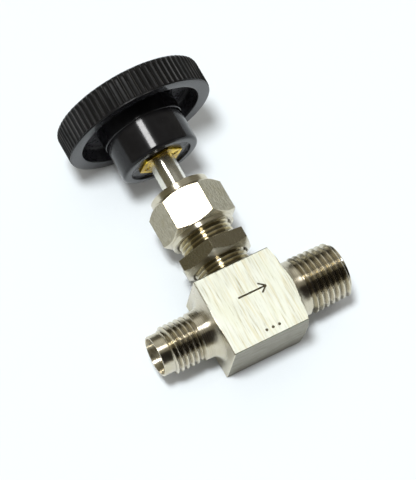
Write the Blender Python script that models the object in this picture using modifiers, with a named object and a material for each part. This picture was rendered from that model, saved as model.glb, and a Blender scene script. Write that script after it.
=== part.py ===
"""A 1/4 in needle valve: bar-stock body, screwed bonnet, packing, two-piece stem and fluted knob.

Row frame: +Z is the stem axis, +X is the flow axis from the tube end to the pipe end, and the
origin is the centre of the block's bottom face. All sizes are in metres.
"""

import math

import bmesh
import bpy
from mathutils import Matrix, Vector

MM = 0.001
INCH = 25.4 * MM

# Shared
GAP = 0.05 * MM  # between pieces that rest on each other
SEGMENTS = 24
FINE_SEGMENTS = 48
V_THREAD_DEPTH = 0.6134  # of a 60 degree thread, in pitches
THREAD_CREST = 0.16  # width of the crest's flat, in pitches
ROOT_LAP = 0.06 * MM  # a threaded piece's core is this much slimmer than its thread's root
OVERCUT = 1.0 * MM  # how far a cutter runs past the face that it opens

# Block, cut from bar
BLOCK_X = 19.5 * MM
BLOCK_Y = 14.9 * MM
BLOCK_Z = 0.75 * INCH
BLOCK_EDGE = 0.25 * MM
FACING_RADIUS = 9.2 * MM  # flat part of the turned face at the pipe end
FACING_DEPTH = 1.1 * MM  # how far the turned cone falls back at CORNER_RADIUS
CORNER_RADIUS = 13.0 * MM
FLOW_Z = BLOCK_Z / 2
TUBE_END_X = 23.6 * MM  # distances of the port ends from the stem axis
PIPE_END_X = 23.4 * MM

# Tube end: 7/16-20 thread for a 1/4 in tube nut
TUBE_THREAD_RADIUS = 7 / 16 * INCH / 2
TUBE_PITCH = INCH / 20
TUBE_THREAD_FROM_X = -21.1 * MM
TUBE_THREAD_TO_X = -13.8 * MM
TUBE_NOSE_RADIUS = 4.75 * MM
TUBE_NECK_RADIUS = 5.65 * MM
TUBE_NECK_FROM_X = -14.2 * MM
TUBE_FILLET = 1.7 * MM
TUBE_LIP_EDGE = 0.15 * MM
TUBE_NECK_SLOPE = 0.9 * MM
TUBE_MOUTH_RADIUS = 4.2 * MM
TUBE_MOUTH_DEPTH = 1.9 * MM
TUBE_SOCKET_RADIUS = 3.25 * MM
TUBE_SOCKET_TO_X = -15.0 * MM

# Pipe end: 1/4-18 taper thread
PIPE_THREAD_RADIUS = 6.84 * MM
PIPE_PITCH = INCH / 18
PIPE_TAPER = 1 / 32  # radius lost for each unit of length
PIPE_THREAD_DEPTH = 0.75 * PIPE_PITCH
PIPE_THREAD_FROM_X = 13.0 * MM
PIPE_NECK_RADIUS = 6.6 * MM
PIPE_NECK_TO_X = 13.4 * MM
PIPE_NECK_SLOPE = 0.6 * MM
PIPE_FILLET = 0.8 * MM
PIPE_BORE_RADIUS = 3.6 * MM
PIPE_BORE_TO_X = 13.5 * MM
PIPE_DRILL_POINT = 1.1 * MM

# Passages and seat inside the block
PASSAGE_RADIUS = 1.7 * MM
DRILLING_LAP = 0.6 * MM  # where a slanted drilling starts beyond the space that it opens from
SEAT_RADIUS = 2.0 * MM
SEAT_Z = FLOW_Z + 1.2 * MM
SEAT_BEVEL = 0.35 * MM
SEAT_BORE_TO_Z = FLOW_Z - 4.6 * MM
CHAMBER_RADIUS = 4.4 * MM
CHAMBER_TO_Z = FLOW_Z + 4.5 * MM
PASSAGE_RISE = 3.2 * MM  # how far each slanted drilling leaves the flow axis

# Bonnet: about 1/2-24 thread outside, screwed into the block below
BONNET_RADIUS = 0.25 * INCH
BONNET_PITCH = INCH / 24
BONNET_TOP_Z = FLOW_Z + 27.5 * MM
BONNET_FOOT_RADIUS = 5.5 * MM
BONNET_BORE_RADIUS = 5.6 * MM
BONNET_FOOT_Z = CHAMBER_TO_Z + 0.9 * MM
BONNET_SHOULDER_Z = BLOCK_Z + 2 * GAP
BONNET_SHOULDER_SLOPE = 0.2 * MM
STEM_THREAD_BORE_RADIUS = 4.08 * MM
PACKING_FLOOR_Z = FLOW_Z + 19.0 * MM
STEM_THREAD_BORE_TO_Z = PACKING_FLOOR_Z - 0.8 * MM
STEM_BORE_SLOPE = 0.5 * MM
PACKING_RADIUS = 4.6 * MM
SEAL_RING_THICKNESS = 0.7 * MM
LOCK_PIN_RADIUS = 0.8 * MM
LOCK_PIN_Z = BLOCK_Z - 2.6 * MM
LOCK_PIN_DEPTH = 2.6 * MM
PIN_NOTCH_DEPTH = 0.6 * MM

# Hexagons, 5/8 in across flats
HEX_FLATS = 0.625 * INCH
THREAD_BORE_RADIUS = BONNET_RADIUS + 2 * GAP
PANEL_NUT_FROM_Z = FLOW_Z + 12.7 * MM
PANEL_NUT_TO_Z = FLOW_Z + 16.65 * MM
PANEL_NUT_TURN = math.radians(15.8)  # a corner points this far from +X
PANEL_NUT_CHAMFER_RADIUS = 7.0 * MM
PACKING_NUT_FROM_Z = FLOW_Z + 20.3 * MM
PACKING_NUT_HEX_FROM_Z = FLOW_Z + 21.4 * MM
PACKING_NUT_HEX_TO_Z = FLOW_Z + 30.75 * MM
PACKING_NUT_TO_Z = FLOW_Z + 32.3 * MM
PACKING_NUT_INSIDE_Z = FLOW_Z + 28.8 * MM
PACKING_NUT_TURN = math.radians(-15.5)
PACKING_NUT_BAND_RADIUS = 7.2 * MM
PACKING_NUT_COLLAR_RADIUS = 7.7 * MM
PACKING_NUT_EDGE = 0.3 * MM
PACKING_NUT_STEM_HOLE_RADIUS = 3.3 * MM
CHAMFER_SLOPE = math.tan(math.radians(33))

# Packing and gland
RING_GAP = 0.08 * MM
RING_INNER_RADIUS = 3.13 * MM  # RING_GAP clear of the stem
RING_OUTER_RADIUS = PACKING_RADIUS - RING_GAP
WASHER_THICKNESS = 0.6 * MM
ADAPTER_THICKNESS = 1.3 * MM
V_RING_THICKNESS = 0.9 * MM
V_RING_COUNT = 3
V_HEIGHT = 0.55 * MM  # how far the crown of each chevron stands above its edges
GLAND_TAKE_UP = 0.3 * MM
GLAND_FLANGE_RADIUS = 5.9 * MM
GLAND_FLANGE_THICKNESS = 0.6 * MM

# Stem and needle tip, closed at rest
STEM_RADIUS = 3.05 * MM
STEM_THREAD_RADIUS = 5 / 16 * INCH / 2
STEM_PITCH = INCH / 24
STEM_FOOT_Z = FLOW_Z + 5.9 * MM
STEM_FOOT_RADIUS = 2.75 * MM
STEM_THREAD_FROM_Z = FLOW_Z + 8.2 * MM
STEM_THREAD_TO_Z = FLOW_Z + 13.2 * MM
STEM_THREAD_SLOPE = 0.3 * MM
STEM_TOP_EDGE = 0.4 * MM
STEM_SOCKET_RADIUS = 2.15 * MM
STEM_SOCKET_TO_Z = FLOW_Z + 8.7 * MM
TIP_RADIUS = 2.6 * MM
TIP_END_RADIUS = 0.7 * MM
TIP_POINT = 0.3 * MM
TIP_CONE_ANGLE = math.radians(30)
TIP_CLEARANCE = 0.04 * MM
TIP_SHOULDER_Z = FLOW_Z + 4.6 * MM
TIP_NECK_RADIUS = 1.2 * MM
TIP_BUTTON_RADIUS = 2.0 * MM
TIP_BUTTON_FROM_Z = FLOW_Z + 6.1 * MM
TIP_BUTTON_TO_Z = FLOW_Z + 7.0 * MM
BALL_RADIUS = 0.8 * MM
RETAINER_FROM_Z = FLOW_Z + 4.9 * MM
RETAINER_FLOOR_Z = FLOW_Z + 5.8 * MM
RETAINER_TO_Z = FLOW_Z + 7.9 * MM
RETAINER_RADIUS = 3.5 * MM
RETAINER_HOLE_RADIUS = 1.35 * MM

# Knob
HUB_Z = FLOW_Z + 40.4 * MM
HUB_RADIUS = 9.5 * MM
HUB_RECESS_RADIUS = 7.5 * MM
HUB_RECESS_DEPTH = 0.6 * MM
HUB_RING_Z = FLOW_Z + 48.8 * MM
HUB_RING_RADIUS = 9.8 * MM
CAVITY_RADIUS = 14.8 * MM
CAVITY_Z = FLOW_Z + 54.0 * MM
RIM_Z = FLOW_Z + 50.2 * MM
RIM_RADIUS = 17.95 * MM
RIM_FOOT_EDGE = 0.3 * MM
FLUTE_TOP_Z = FLOW_Z + 56.4 * MM
KNOB_TOP_Z = FLOW_Z + 57.7 * MM
KNOB_TOP_FALL = 0.25 * MM  # from the dish's rim out to the rounded edge
KNOB_TOP_ROUND = 1.3 * MM
HUB_END_ROUND = 0.8 * MM
CAVITY_EDGE = 0.3 * MM
CAVITY_DRAFT = 0.4 * MM
CAVITY_CORNER = 0.8 * MM
HUB_RING_DRAFT = 0.1 * MM
HUB_STEP = 0.35 * MM
RECESS_DRAFT = 0.15 * MM
DISH_SLOPE = 1.2 * MM
TOP_DISH_RADIUS = 10.5 * MM
TOP_DISH_DEPTH = 0.7 * MM
FLUTE_COUNT = 80
FLUTE_DEPTH = 0.28 * MM
BAND_LAP = 0.15 * MM  # how deep the bottoms of the flutes stand off the rim inside them
BAND_THICKNESS = 0.8 * MM
INSERT_FLATS = 0.375 * INCH
INSERT_TURN = math.radians(-17.6)  # a corner points this far from +X
INSERT_TOP_Z = HUB_Z + 9.0 * MM
STEM_HOLE_RADIUS = STEM_RADIUS + GAP
STEM_HOLE_TO_Z = HUB_Z + 7.5 * MM
STEM_TOP_Z = HUB_Z + 7.2 * MM
STAKE_RADIUS = 3.7 * MM
STAKE_SIZE = 0.3 * MM
SET_SCREW_RADIUS = 1.5 * MM
SET_SCREW_Z = HUB_Z + 4.0 * MM
SET_SCREW_LENGTH = 3.5 * MM
SET_SCREW_HEX_RADIUS = 0.8 * MM
SET_SCREW_HEX_DEPTH = 1.4 * MM


Z_AXIS = Vector((0, 0, 1))


def clear_scene():
    for obj in list(bpy.data.objects):
        bpy.data.objects.remove(obj, do_unlink=True)


def new_collection(name):
    collection = bpy.data.collections.new(name)
    bpy.context.scene.collection.children.link(collection)
    return collection


def new_material(name, colour, roughness, metallic):
    material = bpy.data.materials.new(name)
    material.use_nodes = True
    shader = material.node_tree.nodes["Principled BSDF"]
    shader.inputs["Base Color"].default_value = (*colour, 1)
    shader.inputs["Roughness"].default_value = roughness
    shader.inputs["Metallic"].default_value = metallic
    return material


def arc(centre, radius, start_deg, end_deg, steps=4):
    """Profile points along an arc, with angles from +r towards +z."""
    points = []
    for step in range(steps + 1):
        angle = math.radians(start_deg + (end_deg - start_deg) * step / steps)
        points.append((centre[0] + radius * math.cos(angle), centre[1] + radius * math.sin(angle)))
    return points


def turned(name, profile, segments=SEGMENTS, closed=False):
    """An object turned about +Z from (radius, z) points that run down its outer side.

    A closed profile is a ring's section, outer side first and then the bore upwards.
    """
    mesh = bpy.data.meshes.new(name)
    count = len(profile)
    edges = [(i, i + 1) for i in range(count - 1)]
    if closed:
        edges.append((count - 1, 0))
    mesh.from_pydata([(r, 0, z) for r, z in profile], edges, [])
    obj = bpy.data.objects.new(name, mesh)
    bpy.context.scene.collection.objects.link(obj)
    screw = obj.modifiers.new("turn", "SCREW")
    screw.axis = "Z"
    screw.steps = segments
    screw.render_steps = segments
    screw.use_merge_vertices = True
    screw.merge_threshold = 1e-6
    screw.use_smooth_shade = False
    return bake(obj)


def bake(obj):
    """Applies the object's modifiers and transform to its mesh."""
    bpy.context.view_layer.update()
    graph = bpy.context.evaluated_depsgraph_get()
    mesh = bpy.data.meshes.new_from_object(obj.evaluated_get(graph))
    mesh.transform(obj.matrix_world)
    obj.modifiers.clear()
    obj.matrix_world = Matrix.Identity(4)
    obj.data = mesh
    return obj


def point_along_x(obj, sign):
    """Turns an object made about +Z so that its +Z lies along +X or -X on the flow axis."""
    turn = Matrix.Rotation(math.radians(90 * sign), 4, "Y")
    obj.data.transform(Matrix.Translation((0, 0, FLOW_Z)) @ turn)
    return obj


def cylinder_between(name, start, end, radius, segments=16):
    """A closed cylinder from one point to another."""
    start, end = Vector(start), Vector(end)
    mesh = bpy.data.meshes.new(name)
    solid = bmesh.new()
    bmesh.ops.create_cone(
        solid,
        cap_ends=True,
        segments=segments,
        radius1=radius,
        radius2=radius,
        depth=(end - start).length,
    )
    solid.to_mesh(mesh)
    solid.free()
    turn = (end - start).to_track_quat("Z", "Y").to_matrix().to_4x4()
    mesh.transform(Matrix.Translation((start + end) / 2) @ turn)
    obj = bpy.data.objects.new(name, mesh)
    bpy.context.scene.collection.objects.link(obj)
    return obj


def box(name, low, high):
    mesh = bpy.data.meshes.new(name)
    solid = bmesh.new()
    bmesh.ops.create_cube(solid, size=1)
    solid.to_mesh(mesh)
    solid.free()
    low, high = Vector(low), Vector(high)
    size = high - low
    mesh.transform(Matrix.Translation((low + high) / 2) @ Matrix.Diagonal((*size, 1)))
    obj = bpy.data.objects.new(name, mesh)
    bpy.context.scene.collection.objects.link(obj)
    return obj


def hex_prism(name, flats, low_z, high_z, turn):
    """A hexagonal bar along Z, with one corner at the angle turn from +X."""
    corner = flats / 2 / math.cos(math.radians(30))
    obj = cylinder_between(name, (0, 0, low_z), (0, 0, high_z), corner, segments=6)
    first = obj.data.vertices[0].co
    now = math.atan2(first.y, first.x)
    obj.data.transform(Matrix.Rotation(turn - now, 4, "Z"))
    return obj


def combine(obj, other, operation):
    """Runs a Boolean on the object's mesh, and removes the other object."""
    boolean = obj.modifiers.new(operation.lower(), "BOOLEAN")
    boolean.operation = operation
    boolean.solver = "EXACT"
    boolean.object = other
    bake(obj)
    bpy.data.objects.remove(other, do_unlink=True)
    return obj


def cut(obj, cutter):
    return combine(obj, cutter, "DIFFERENCE")


def join(obj, other):
    return combine(obj, other, "UNION")


def keep_inside(obj, other):
    return combine(obj, other, "INTERSECT")


def thread_rod(name, low_z, high_z, radius, depth, pitch, taper=0.0, run_in=0.4, run_out=0.4):
    """A closed rod along Z with a right-hand V thread outside.

    One tooth's profile is swept up a helix. The rows past each end are pressed flat onto it, and
    the teeth shrink to the root over run_in and run_out pitches, so both ends are round.
    """
    segments = SEGMENTS
    levels = ((0.0, 0.0), (0.5 - THREAD_CREST / 2, 1.0), (0.5 + THREAD_CREST / 2, 1.0))
    turns = math.ceil((high_z - low_z) / pitch) + 1
    solid = bmesh.new()
    rows = []
    for index in range((turns + 1) * len(levels)):
        tooth, step = divmod(index, len(levels))
        along, height = levels[step]
        row = []
        for segment in range(segments + 1):
            share = segment / segments
            z = low_z + pitch * (tooth - 1 + along + share)
            z = min(max(z, low_z), high_z)
            fade = min(1.0, (z - low_z) / (run_in * pitch), (high_z - z) / (run_out * pitch))
            outer = radius - taper * (z - low_z)
            r = outer - depth + depth * height * max(0.0, fade)
            angle = 2 * math.pi * share
            row.append(solid.verts.new((r * math.cos(angle), r * math.sin(angle), z)))
        rows.append(row)
    for lower, upper in zip(rows, rows[1:]):
        for segment in range(segments):
            solid.faces.new((lower[segment], lower[segment + 1], upper[segment + 1], upper[segment]))
    bmesh.ops.remove_doubles(solid, verts=solid.verts, dist=1e-6)
    bmesh.ops.dissolve_degenerate(solid, dist=1e-6, edges=solid.edges)
    open_edges = [edge for edge in solid.edges if edge.is_boundary]
    bmesh.ops.holes_fill(solid, edges=open_edges, sides=0)
    bmesh.ops.recalc_face_normals(solid, faces=solid.faces)
    mesh = bpy.data.meshes.new(name)
    solid.to_mesh(mesh)
    solid.free()
    obj = bpy.data.objects.new(name, mesh)
    bpy.context.scene.collection.objects.link(obj)
    return obj


def ring(name, inner, outer, low_z, high_z, segments=SEGMENTS):
    profile = [(outer, high_z), (outer, low_z), (inner, low_z), (inner, high_z)]
    return turned(name, profile, segments, closed=True)


def valve_body():
    half = Vector((BLOCK_X, BLOCK_Y, 0)) / 2
    block = box("valve_body", (-half.x, -half.y, 0), (half.x, half.y, BLOCK_Z))
    edge = block.modifiers.new("edge", "BEVEL")
    edge.width = BLOCK_EDGE
    edge.segments = 1
    bake(block)
    turned_end = turned(
        "turned_end",
        [
            (0, half.x + GAP),
            (FACING_RADIUS, half.x + GAP),
            (CORNER_RADIUS, half.x - FACING_DEPTH),
            (CORNER_RADIUS, -half.x - GAP),
            (0, -half.x - GAP),
        ],
        FINE_SEGMENTS,
    )
    keep_inside(block, point_along_x(turned_end, 1))
    join(block, tube_end())
    join(block, pipe_end())
    for cutter in bore_cutters():
        cut(block, cutter)
    return block


def tube_end():
    """The left end: neck with a fillet, plain nose and the male thread."""
    face = BLOCK_X / 2
    fillet_centre = (TUBE_NECK_RADIUS + TUBE_FILLET, face + TUBE_FILLET)
    profile = [
        (0, TUBE_END_X),
        (TUBE_NOSE_RADIUS - TUBE_LIP_EDGE, TUBE_END_X),
        (TUBE_NOSE_RADIUS, TUBE_END_X - TUBE_LIP_EDGE),
        (TUBE_NOSE_RADIUS, -TUBE_NECK_FROM_X + TUBE_NECK_SLOPE),
        (TUBE_NECK_RADIUS, -TUBE_NECK_FROM_X),
        *arc(fillet_centre, TUBE_FILLET, 180, 270),
        (TUBE_NECK_RADIUS + TUBE_FILLET, face - OVERCUT),
        (0, face - OVERCUT),
    ]
    core = turned("tube_core", profile)
    depth = TUBE_THREAD_RADIUS - TUBE_NOSE_RADIUS - ROOT_LAP
    thread = thread_rod(
        "tube_thread",
        -TUBE_THREAD_TO_X,
        -TUBE_THREAD_FROM_X,
        TUBE_THREAD_RADIUS,
        depth,
        TUBE_PITCH,
    )
    join(core, thread)
    return point_along_x(core, -1)


def pipe_end():
    """The right end: short neck and the male taper thread, its end chamfered."""
    face = BLOCK_X / 2
    fillet_centre = (PIPE_NECK_RADIUS + PIPE_FILLET, face + PIPE_FILLET)
    root = PIPE_THREAD_RADIUS - PIPE_THREAD_DEPTH
    end_root = root - PIPE_TAPER * (PIPE_END_X - PIPE_THREAD_FROM_X)
    profile = [
        (0, PIPE_END_X),
        (end_root - ROOT_LAP, PIPE_END_X),
        (root - ROOT_LAP, PIPE_NECK_TO_X + PIPE_NECK_SLOPE),
        (PIPE_NECK_RADIUS, PIPE_NECK_TO_X),
        *arc(fillet_centre, PIPE_FILLET, 180, 270),
        (PIPE_NECK_RADIUS + PIPE_FILLET, face - OVERCUT),
        (0, face - OVERCUT),
    ]
    core = turned("pipe_core", profile)
    thread = thread_rod(
        "pipe_thread",
        PIPE_THREAD_FROM_X,
        PIPE_END_X - GAP,
        PIPE_THREAD_RADIUS,
        PIPE_THREAD_DEPTH,
        PIPE_PITCH,
        taper=PIPE_TAPER,
    )
    join(core, thread)
    return point_along_x(core, 1)


def bore_cutters():
    """Cutters for the ports, the slanted drillings, the seat and the bonnet's bore."""
    tube = turned(
        "tube_bore",
        [
            (0, TUBE_END_X + OVERCUT),
            (TUBE_MOUTH_RADIUS, TUBE_END_X + OVERCUT),
            (TUBE_MOUTH_RADIUS, TUBE_END_X),
            (TUBE_SOCKET_RADIUS, TUBE_END_X - TUBE_MOUTH_DEPTH),
            (TUBE_SOCKET_RADIUS, -TUBE_SOCKET_TO_X),
            (0, -TUBE_SOCKET_TO_X),
        ],
    )
    pipe = turned(
        "pipe_bore",
        [
            (0, PIPE_END_X + OVERCUT),
            (PIPE_BORE_RADIUS, PIPE_END_X + OVERCUT),
            (PIPE_BORE_RADIUS, PIPE_BORE_TO_X),
            (PASSAGE_RADIUS, PIPE_BORE_TO_X - PIPE_DRILL_POINT),
            (0, PIPE_BORE_TO_X - PIPE_DRILL_POINT),
        ],
    )
    down = cylinder_between(
        "inlet_drilling",
        (TUBE_SOCKET_TO_X - DRILLING_LAP, 0, FLOW_Z),
        (0, 0, FLOW_Z - PASSAGE_RISE),
        PASSAGE_RADIUS,
    )
    up = cylinder_between(
        "outlet_drilling",
        (PIPE_BORE_TO_X + DRILLING_LAP, 0, FLOW_Z),
        (SEAT_RADIUS + DRILLING_LAP, 0, FLOW_Z + PASSAGE_RISE),
        PASSAGE_RADIUS,
    )
    stem_bore = turned(
        "stem_bore",
        [
            (0, BLOCK_Z + OVERCUT),
            (BONNET_BORE_RADIUS, BLOCK_Z + OVERCUT),
            (BONNET_BORE_RADIUS, CHAMBER_TO_Z),
            (CHAMBER_RADIUS, CHAMBER_TO_Z),
            (CHAMBER_RADIUS, SEAT_Z),
            (SEAT_RADIUS + SEAT_BEVEL, SEAT_Z),
            (SEAT_RADIUS, SEAT_Z - SEAT_BEVEL),
            (SEAT_RADIUS, SEAT_BORE_TO_Z),
            (0, SEAT_BORE_TO_Z),
        ],
    )
    half_y = BLOCK_Y / 2
    pin = cylinder_between(
        "pin_hole",
        (0, half_y - LOCK_PIN_DEPTH, LOCK_PIN_Z),
        (0, half_y + OVERCUT, LOCK_PIN_Z),
        LOCK_PIN_RADIUS + GAP,
    )
    return [point_along_x(tube, -1), point_along_x(pipe, 1), stem_bore, down, up, pin]


def bonnet():
    core_radius = BONNET_RADIUS - V_THREAD_DEPTH * BONNET_PITCH - ROOT_LAP
    outside = [
        (0, BONNET_TOP_Z),
        (core_radius, BONNET_TOP_Z),
        (core_radius, BONNET_SHOULDER_Z),
        (BONNET_FOOT_RADIUS, BONNET_SHOULDER_Z - BONNET_SHOULDER_SLOPE),
        (BONNET_FOOT_RADIUS, BONNET_FOOT_Z),
        (0, BONNET_FOOT_Z),
    ]
    body = turned("bonnet", outside)
    thread = thread_rod(
        "bonnet_thread",
        BONNET_SHOULDER_Z,
        BONNET_TOP_Z - 2 * GAP,
        BONNET_RADIUS,
        V_THREAD_DEPTH * BONNET_PITCH,
        BONNET_PITCH,
    )
    join(body, thread)
    bore = turned(
        "bonnet_bore",
        [
            (0, BONNET_TOP_Z + OVERCUT),
            (PACKING_RADIUS, BONNET_TOP_Z + OVERCUT),
            (PACKING_RADIUS, PACKING_FLOOR_Z),
            (STEM_RADIUS + GAP, PACKING_FLOOR_Z),
            (STEM_RADIUS + GAP, STEM_THREAD_BORE_TO_Z),
            (STEM_THREAD_BORE_RADIUS, STEM_THREAD_BORE_TO_Z - STEM_BORE_SLOPE),
            (STEM_THREAD_BORE_RADIUS, BONNET_FOOT_Z - OVERCUT),
            (0, BONNET_FOOT_Z - OVERCUT),
        ],
    )
    cut(body, bore)
    pin = cylinder_between(
        "pin_notch",
        (0, BONNET_FOOT_RADIUS - PIN_NOTCH_DEPTH, LOCK_PIN_Z),
        (0, BONNET_FOOT_RADIUS + OVERCUT, LOCK_PIN_Z),
        LOCK_PIN_RADIUS + GAP,
    )
    return cut(body, pin)


def bonnet_seal_ring():
    low = CHAMBER_TO_Z + GAP
    return ring(
        "bonnet_seal_ring",
        CHAMBER_RADIUS,
        BONNET_FOOT_RADIUS,
        low,
        low + SEAL_RING_THICKNESS,
    )


def bonnet_lock_pin():
    half_y = BLOCK_Y / 2
    return cylinder_between(
        "bonnet_lock_pin",
        (0, half_y - LOCK_PIN_DEPTH + GAP, LOCK_PIN_Z),
        (0, half_y - GAP, LOCK_PIN_Z),
        LOCK_PIN_RADIUS,
    )


def panel_nut():
    nut = hex_prism("panel_nut", HEX_FLATS, PANEL_NUT_FROM_Z, PANEL_NUT_TO_Z, PANEL_NUT_TURN)
    corner = HEX_FLATS / 2 / math.cos(math.radians(30))
    fall = (corner - PANEL_NUT_CHAMFER_RADIUS) * CHAMFER_SLOPE
    chamfer = turned(
        "panel_nut_chamfer",
        [
            (0, PANEL_NUT_TO_Z + OVERCUT),
            (corner + GAP, PANEL_NUT_TO_Z + OVERCUT),
            (corner + GAP, PANEL_NUT_FROM_Z + fall + GAP * CHAMFER_SLOPE),
            (PANEL_NUT_CHAMFER_RADIUS, PANEL_NUT_FROM_Z),
            (0, PANEL_NUT_FROM_Z),
        ],
        FINE_SEGMENTS,
    )
    keep_inside(nut, chamfer)
    bore = cylinder_between(
        "panel_nut_bore",
        (0, 0, PANEL_NUT_FROM_Z - OVERCUT),
        (0, 0, PANEL_NUT_TO_Z + OVERCUT),
        THREAD_BORE_RADIUS,
        SEGMENTS,
    )
    return cut(nut, bore)


def packing_nut():
    nut = hex_prism(
        "packing_nut",
        HEX_FLATS,
        PACKING_NUT_HEX_FROM_Z - OVERCUT,
        PACKING_NUT_HEX_TO_Z + OVERCUT,
        PACKING_NUT_TURN,
    )
    corner = HEX_FLATS / 2 / math.cos(math.radians(30))
    top_fall = (corner - PACKING_NUT_BAND_RADIUS) * CHAMFER_SLOPE
    low_fall = (corner - PACKING_NUT_COLLAR_RADIUS) * CHAMFER_SLOPE
    slack = GAP * CHAMFER_SLOPE
    chamfer = turned(
        "packing_nut_chamfer",
        [
            (0, PACKING_NUT_HEX_TO_Z),
            (PACKING_NUT_BAND_RADIUS, PACKING_NUT_HEX_TO_Z),
            (corner + GAP, PACKING_NUT_HEX_TO_Z - top_fall - slack),
            (corner + GAP, PACKING_NUT_HEX_FROM_Z + low_fall + slack),
            (PACKING_NUT_COLLAR_RADIUS, PACKING_NUT_HEX_FROM_Z),
            (0, PACKING_NUT_HEX_FROM_Z),
        ],
        FINE_SEGMENTS,
    )
    keep_inside(nut, chamfer)
    band = PACKING_NUT_BAND_RADIUS - GAP
    collar = PACKING_NUT_COLLAR_RADIUS - GAP
    round_part = turned(
        "packing_nut_round",
        [
            (0, PACKING_NUT_TO_Z),
            (band - PACKING_NUT_EDGE, PACKING_NUT_TO_Z),
            (band, PACKING_NUT_TO_Z - PACKING_NUT_EDGE),
            (band, PACKING_NUT_HEX_TO_Z - OVERCUT),
            (collar, PACKING_NUT_HEX_FROM_Z + OVERCUT),
            (collar, PACKING_NUT_FROM_Z + PACKING_NUT_EDGE),
            (collar - PACKING_NUT_EDGE, PACKING_NUT_FROM_Z),
            (0, PACKING_NUT_FROM_Z),
        ],
        FINE_SEGMENTS,
    )
    join(nut, round_part)
    bore = turned(
        "packing_nut_bore",
        [
            (0, PACKING_NUT_TO_Z + OVERCUT),
            (PACKING_NUT_STEM_HOLE_RADIUS, PACKING_NUT_TO_Z + OVERCUT),
            (PACKING_NUT_STEM_HOLE_RADIUS, PACKING_NUT_INSIDE_Z),
            (THREAD_BORE_RADIUS, PACKING_NUT_INSIDE_Z),
            (THREAD_BORE_RADIUS, PACKING_NUT_FROM_Z - OVERCUT),
            (0, PACKING_NUT_FROM_Z - OVERCUT),
        ],
    )
    return cut(nut, bore)


def chevron(name, low_z, thickness, flat_bottom=False, flat_top=False):
    """A packing ring whose crown stands V_HEIGHT above its two edges, or is flat on one side."""
    middle = (RING_INNER_RADIUS + RING_OUTER_RADIUS) / 2
    low_rise = 0 if flat_bottom else V_HEIGHT
    top = low_z + thickness
    profile = [
        (middle, top if flat_top else top + V_HEIGHT),
        (RING_OUTER_RADIUS, top),
        (RING_OUTER_RADIUS, low_z),
        (middle, low_z + low_rise),
        (RING_INNER_RADIUS, low_z),
        (RING_INNER_RADIUS, top),
    ]
    return turned(name, profile, closed=True)


def packing_set():
    """The washer, adapters and V rings, stacked up from the floor of the packing chamber."""
    z = PACKING_FLOOR_Z + RING_GAP
    pieces = [ring("packing_washer", RING_INNER_RADIUS, RING_OUTER_RADIUS, z, z + WASHER_THICKNESS)]
    z += WASHER_THICKNESS + RING_GAP
    pieces.append(chevron("packing_lower_adapter", z, ADAPTER_THICKNESS - V_HEIGHT, flat_bottom=True))
    z += ADAPTER_THICKNESS - V_HEIGHT + RING_GAP
    for number in range(V_RING_COUNT):
        pieces.append(chevron(f"packing_v_ring_{number + 1}", z, V_RING_THICKNESS))
        z += V_RING_THICKNESS + RING_GAP
    pieces.append(chevron("packing_upper_adapter", z, ADAPTER_THICKNESS, flat_top=True))
    return pieces, z + ADAPTER_THICKNESS


def packing_gland(packing_top_z):
    flange_top = PACKING_NUT_INSIDE_Z - GAP
    flange_low = flange_top - GLAND_FLANGE_THICKNESS
    low = packing_top_z + GLAND_TAKE_UP
    profile = [
        (GLAND_FLANGE_RADIUS, flange_top),
        (GLAND_FLANGE_RADIUS, flange_low),
        (RING_OUTER_RADIUS, flange_low),
        (RING_OUTER_RADIUS, low),
        (RING_INNER_RADIUS, low),
        (RING_INNER_RADIUS, flange_top),
    ]
    return turned("packing_gland", profile, closed=True)


def stem():
    core_radius = STEM_THREAD_RADIUS - V_THREAD_DEPTH * STEM_PITCH - ROOT_LAP
    outside = [
        (0, STEM_TOP_Z),
        (STEM_RADIUS - STEM_TOP_EDGE, STEM_TOP_Z),
        (STEM_RADIUS, STEM_TOP_Z - STEM_TOP_EDGE),
        (STEM_RADIUS, STEM_THREAD_TO_Z),
        (core_radius, STEM_THREAD_TO_Z - STEM_THREAD_SLOPE),
        (core_radius, STEM_THREAD_FROM_Z + STEM_THREAD_SLOPE),
        (STEM_FOOT_RADIUS, STEM_THREAD_FROM_Z),
        (STEM_FOOT_RADIUS, STEM_FOOT_Z),
        (0, STEM_FOOT_Z),
    ]
    body = turned("stem", outside)
    thread = thread_rod(
        "stem_thread",
        STEM_THREAD_FROM_Z + STEM_THREAD_SLOPE,
        STEM_THREAD_TO_Z - STEM_THREAD_SLOPE,
        STEM_THREAD_RADIUS,
        V_THREAD_DEPTH * STEM_PITCH,
        STEM_PITCH,
    )
    join(body, thread)
    socket = turned(
        "stem_socket",
        [
            (0, STEM_SOCKET_TO_Z),
            (STEM_SOCKET_RADIUS, STEM_SOCKET_TO_Z),
            (STEM_SOCKET_RADIUS, STEM_FOOT_Z - OVERCUT),
            (0, STEM_FOOT_Z - OVERCUT),
        ],
    )
    return cut(body, socket)


def needle_tip():
    """The cone closes on the lower edge of the seat's bevel, with a hair of clearance."""
    slope = math.tan(TIP_CONE_ANGLE)
    contact_z = SEAT_Z - SEAT_BEVEL + TIP_CLEARANCE / math.sin(TIP_CONE_ANGLE)
    cone_top_z = contact_z + (TIP_RADIUS - SEAT_RADIUS) / slope
    cone_end_z = contact_z - (SEAT_RADIUS - TIP_END_RADIUS) / slope
    profile = [
        (0, TIP_BUTTON_TO_Z),
        (TIP_BUTTON_RADIUS, TIP_BUTTON_TO_Z),
        (TIP_BUTTON_RADIUS, TIP_BUTTON_FROM_Z),
        (TIP_NECK_RADIUS, TIP_BUTTON_FROM_Z),
        (TIP_NECK_RADIUS, TIP_SHOULDER_Z),
        (TIP_RADIUS, TIP_SHOULDER_Z),
        (TIP_RADIUS, cone_top_z),
        (TIP_END_RADIUS, cone_end_z),
        (0, cone_end_z - TIP_POINT),
    ]
    return turned("needle_tip", profile)


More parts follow.
